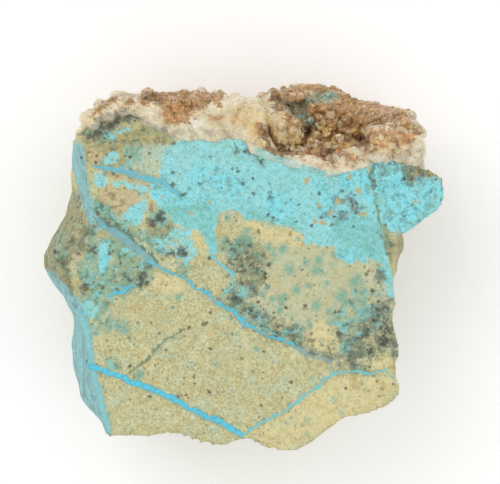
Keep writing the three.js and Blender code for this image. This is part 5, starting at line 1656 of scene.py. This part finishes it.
def scatter(name, spots, seed):
    """Copies of one quartz point in one mesh, for spots (place, direction, width, height, tone)."""
    point = model_point()
    shape = np.array([vertex.co[:] for vertex in point.data.vertices])
    faces = [tuple(face.vertices) for face in point.data.polygons]
    bpy.data.objects.remove(point)

    random = np.random.default_rng(seed)
    low, high = (np.array(corner) / MM for corner in CAD_BOX)
    points, sides, tones = [], [], []
    for place, direction, width, height, tone in spots:
        axis = Vector(direction + random.normal(0, 0.32, 3)).normalized()
        roll = Matrix.Rotation(random.random() * FULL_TURN, 3, "Z")
        turn = axis.to_track_quat("Z", "Y").to_matrix() @ roll
        stretch = np.array([width * (0.8 + 0.4 * random.random()), width, height])
        root = np.array([0, 0, height * 0.4])
        copy = (shape * stretch - root) @ np.array(turn).T + place
        if (copy < low).any() or (copy > high).any():
            continue
        start = len(points) * len(shape)
        points.append(copy)
        sides += [tuple(start + corner for corner in face) for face in faces]
        tones += [tone] * len(shape)
    mesh = bpy.data.meshes.new(name)
    mesh.from_pydata((np.concatenate(points) * MM).tolist(), [], sides)
    piece = bpy.data.objects.new(name, mesh)
    bpy.context.scene.collection.objects.link(piece)
    only(piece)
    paint_rind(piece, rounds=0, tones=np.array(tones))
    return piece


def spots_on(carrier, count, widths, heights, seed, chosen, tone_range):
    """Random spots on a carrier's faces, weighted by chosen(centres, normals)."""
    random = np.random.default_rng(seed)
    polygons = carrier.data.polygons
    centres = read(polygons, "center", 3) / MM
    normals = read(polygons, "normal", 3)
    chance = read(polygons, "area", 1)[:, 0] * chosen(centres, normals)
    spots = []
    for pick in random.choice(len(polygons), size=count, p=chance / chance.sum()):
        # Small points are far more common than large ones.
        width = widths[0] + (widths[1] - widths[0]) * random.random() ** 2.2
        height = width * (heights[0] + (heights[1] - heights[0]) * random.random())
        tone = tone_range[0] + (tone_range[1] - tone_range[0]) * random.random()
        spots.append((centres[pick], normals[pick], width, height, tone))
    return spots


def placed_spots(crystals, *carriers):
    """A spot for each listed crystal, where a straight drop strikes the first carrier it can."""
    spots = []
    for x, y, width, tone in crystals:
        for carrier in carriers:
            struck = drop_on(carrier, x, y)
            if struck is not None:
                upright = np.array((0.0, -0.15, 1.0))
                spots.append((np.array(struck) / MM, upright, width, width * 1.1, tone))
                break
    return spots


class SPECIMEN_OT_points(bpy.types.Operator):
    """Scatter small quartz points over the rind"""

    bl_idname = "specimen.points"
    bl_label = "Quartz points"

    def execute(self, context):
        settings = context.scene.quartz_settings
        rind = bpy.data.objects["quartz_rind"]

        def chosen(centres, normals):
            across, up, height = centres.T
            outer = np.clip((up - 15.5) / 3, 0.1, 1) * np.clip((height - 3) / 5, 0, 1)
            stained = film_cover(RIND_FILMS["iron"], across, up)
            patches = np.clip(0.2 + 0.6 * stained + 0.8 * cloud(centres, 2.5, 5), 0.02, 1)
            return outer * patches * np.clip(normals[:, 2] + 0.2, 0.02, 1)

        spots = spots_on(rind, settings.point_count, widths=(0.25, 0.75), heights=(0.5, 0.9),
                         seed=11, chosen=chosen, tone_range=(0.25, 0.95))
        spots += placed_spots(LUMP_CRYSTALS, rind)
        piece = scatter("rind_points", spots, seed=12)
        material = quartz_material("Quartz points", settings, roughness=0.25, clear=0.3,
                                   stain_share=0.75)
        finish_piece(piece, material, "quartz")
        return {"FINISHED"}


class SPECIMEN_OT_druse(bpy.types.Operator):
    """Build the crystals that line the open hollow"""

    bl_idname = "specimen.druse"
    bl_label = "Hollow druse"

    def execute(self, context):
        settings = context.scene.quartz_settings
        lining = copy_of_node("vug_crystals", "vug_druse")
        apply_modifier(lining, "BEVEL", "Worn edges", width=0.06 * MM, segments=1)
        paint_rind(lining, rounds=0, tones=0.22 + 0.3 * cloud(vertex_places(lining), 1.5, 4))
        material = quartz_material("Hollow druse", settings, roughness=0.22, clear=0.3,
                                   stain_share=0.6)
        finish_piece(lining, material, "druse", "vug_crystals")

        spots = spots_on(lining, settings.druse_count, widths=(0.5, 1.7), heights=(0.8, 1.2),
                         seed=23, tone_range=(0.0, 0.55),
                         chosen=lambda centres, normals: np.clip(normals[:, 2] + 0.8, 0.05, 1))
        spots += placed_spots(BIG_CRYSTALS, lining, bpy.data.objects["quartz_rind"])
        finish_piece(scatter("vug_points", spots, seed=24), material, "druse")
        return {"FINISHED"}


class SPECIMEN_OT_stage(bpy.types.Operator):
    """Set the floor, the lights and the camera"""

    bl_idname = "specimen.stage"
    bl_label = "Stage"

    def execute(self, context):
        settings = context.scene.stage_settings
        scene = context.scene
        scene.view_settings.view_transform = "Standard"
        bpy.ops.object.select_all(action="DESELECT")
        bpy.ops.mesh.primitive_plane_add(size=4)
        floor = context.object
        floor.name = "floor"
        floor.data.materials.append(floor_material(settings))

        world = bpy.data.worlds.new("Soft room")
        world.use_nodes = True
        scene.world = world
        sky = world.node_tree.nodes["Background"]
        sky.inputs[0].default_value = (1, 1, 1, 1)
        sky.inputs[1].default_value = settings.sky

        middle = Vector((0, 0, 12 * MM))
        for name, place, size, share in [
                ("Key light", (-0.22, 0.2, 0.42), 0.3, 1.0),
                ("Fill light", (0.3, -0.15, 0.35), 0.35, 0.25)]:
            light = bpy.data.lights.new(name, "AREA")
            light.energy = settings.key * share
            light.size = size
            lamp = bpy.data.objects.new(name, light)
            lamp.location = place
            aim = middle - lamp.location
            lamp.rotation_euler = aim.to_track_quat("-Z", "Y").to_euler()
            scene.collection.objects.link(lamp)

        lens = bpy.data.cameras.new("Straight down")
        lens.lens, lens.sensor_width = 250, 36
        lens.clip_start, lens.clip_end = 0.01, 10
        camera = bpy.data.objects.new("Straight down", lens)
        distance = settings.view_width * lens.lens / lens.sensor_width
        camera.location = (settings.view_x, settings.view_y, CAD_BOX[1][2] + distance)
        scene.collection.objects.link(camera)
        scene.camera = camera
        return {"FINISHED"}


class SPECIMEN_PT_panel(bpy.types.Panel):
    """Buttons that build the specimen piece by piece"""

    bl_label = "Specimen"
    bl_idname = "SPECIMEN_PT_panel"
    bl_space_type = "VIEW_3D"
    bl_region_type = "UI"
    bl_category = "Specimen"

    def draw(self, context):
        scene = context.scene
        for title, settings, buttons in [
                ("Rock", scene.rock_settings, [SPECIMEN_OT_rock]),
                ("Quartz", scene.quartz_settings,
                 [SPECIMEN_OT_rind, SPECIMEN_OT_points, SPECIMEN_OT_druse]),
                ("Stage", scene.stage_settings, [SPECIMEN_OT_stage])]:
            box = self.layout.box()
            box.label(text=title)
            for key in settings.__annotations__:
                box.prop(settings, key)
            for button in buttons:
                box.operator(button.bl_idname)


CLASSES = [RockSettings, QuartzSettings, StageSettings, SPECIMEN_OT_rock, SPECIMEN_OT_rind,
           SPECIMEN_OT_points, SPECIMEN_OT_druse, SPECIMEN_OT_stage, SPECIMEN_PT_panel]


def register():
    for cls in CLASSES:
        bpy.utils.register_class(cls)
    bpy.types.Scene.rock_settings = bpy.props.PointerProperty(type=RockSettings)
    bpy.types.Scene.quartz_settings = bpy.props.PointerProperty(type=QuartzSettings)
    bpy.types.Scene.stage_settings = bpy.props.PointerProperty(type=StageSettings)


def unregister():
    del bpy.types.Scene.rock_settings
    del bpy.types.Scene.quartz_settings
    del bpy.types.Scene.stage_settings
    for cls in reversed(CLASSES):
        bpy.utils.unregister_class(cls)


def main():
    register()
    make_groups()
    bpy.ops.specimen.rock()
    bpy.ops.specimen.rind()
    bpy.ops.specimen.points()
    bpy.ops.specimen.druse()
    bpy.ops.specimen.stage()


if __name__ == "__main__":
    main()
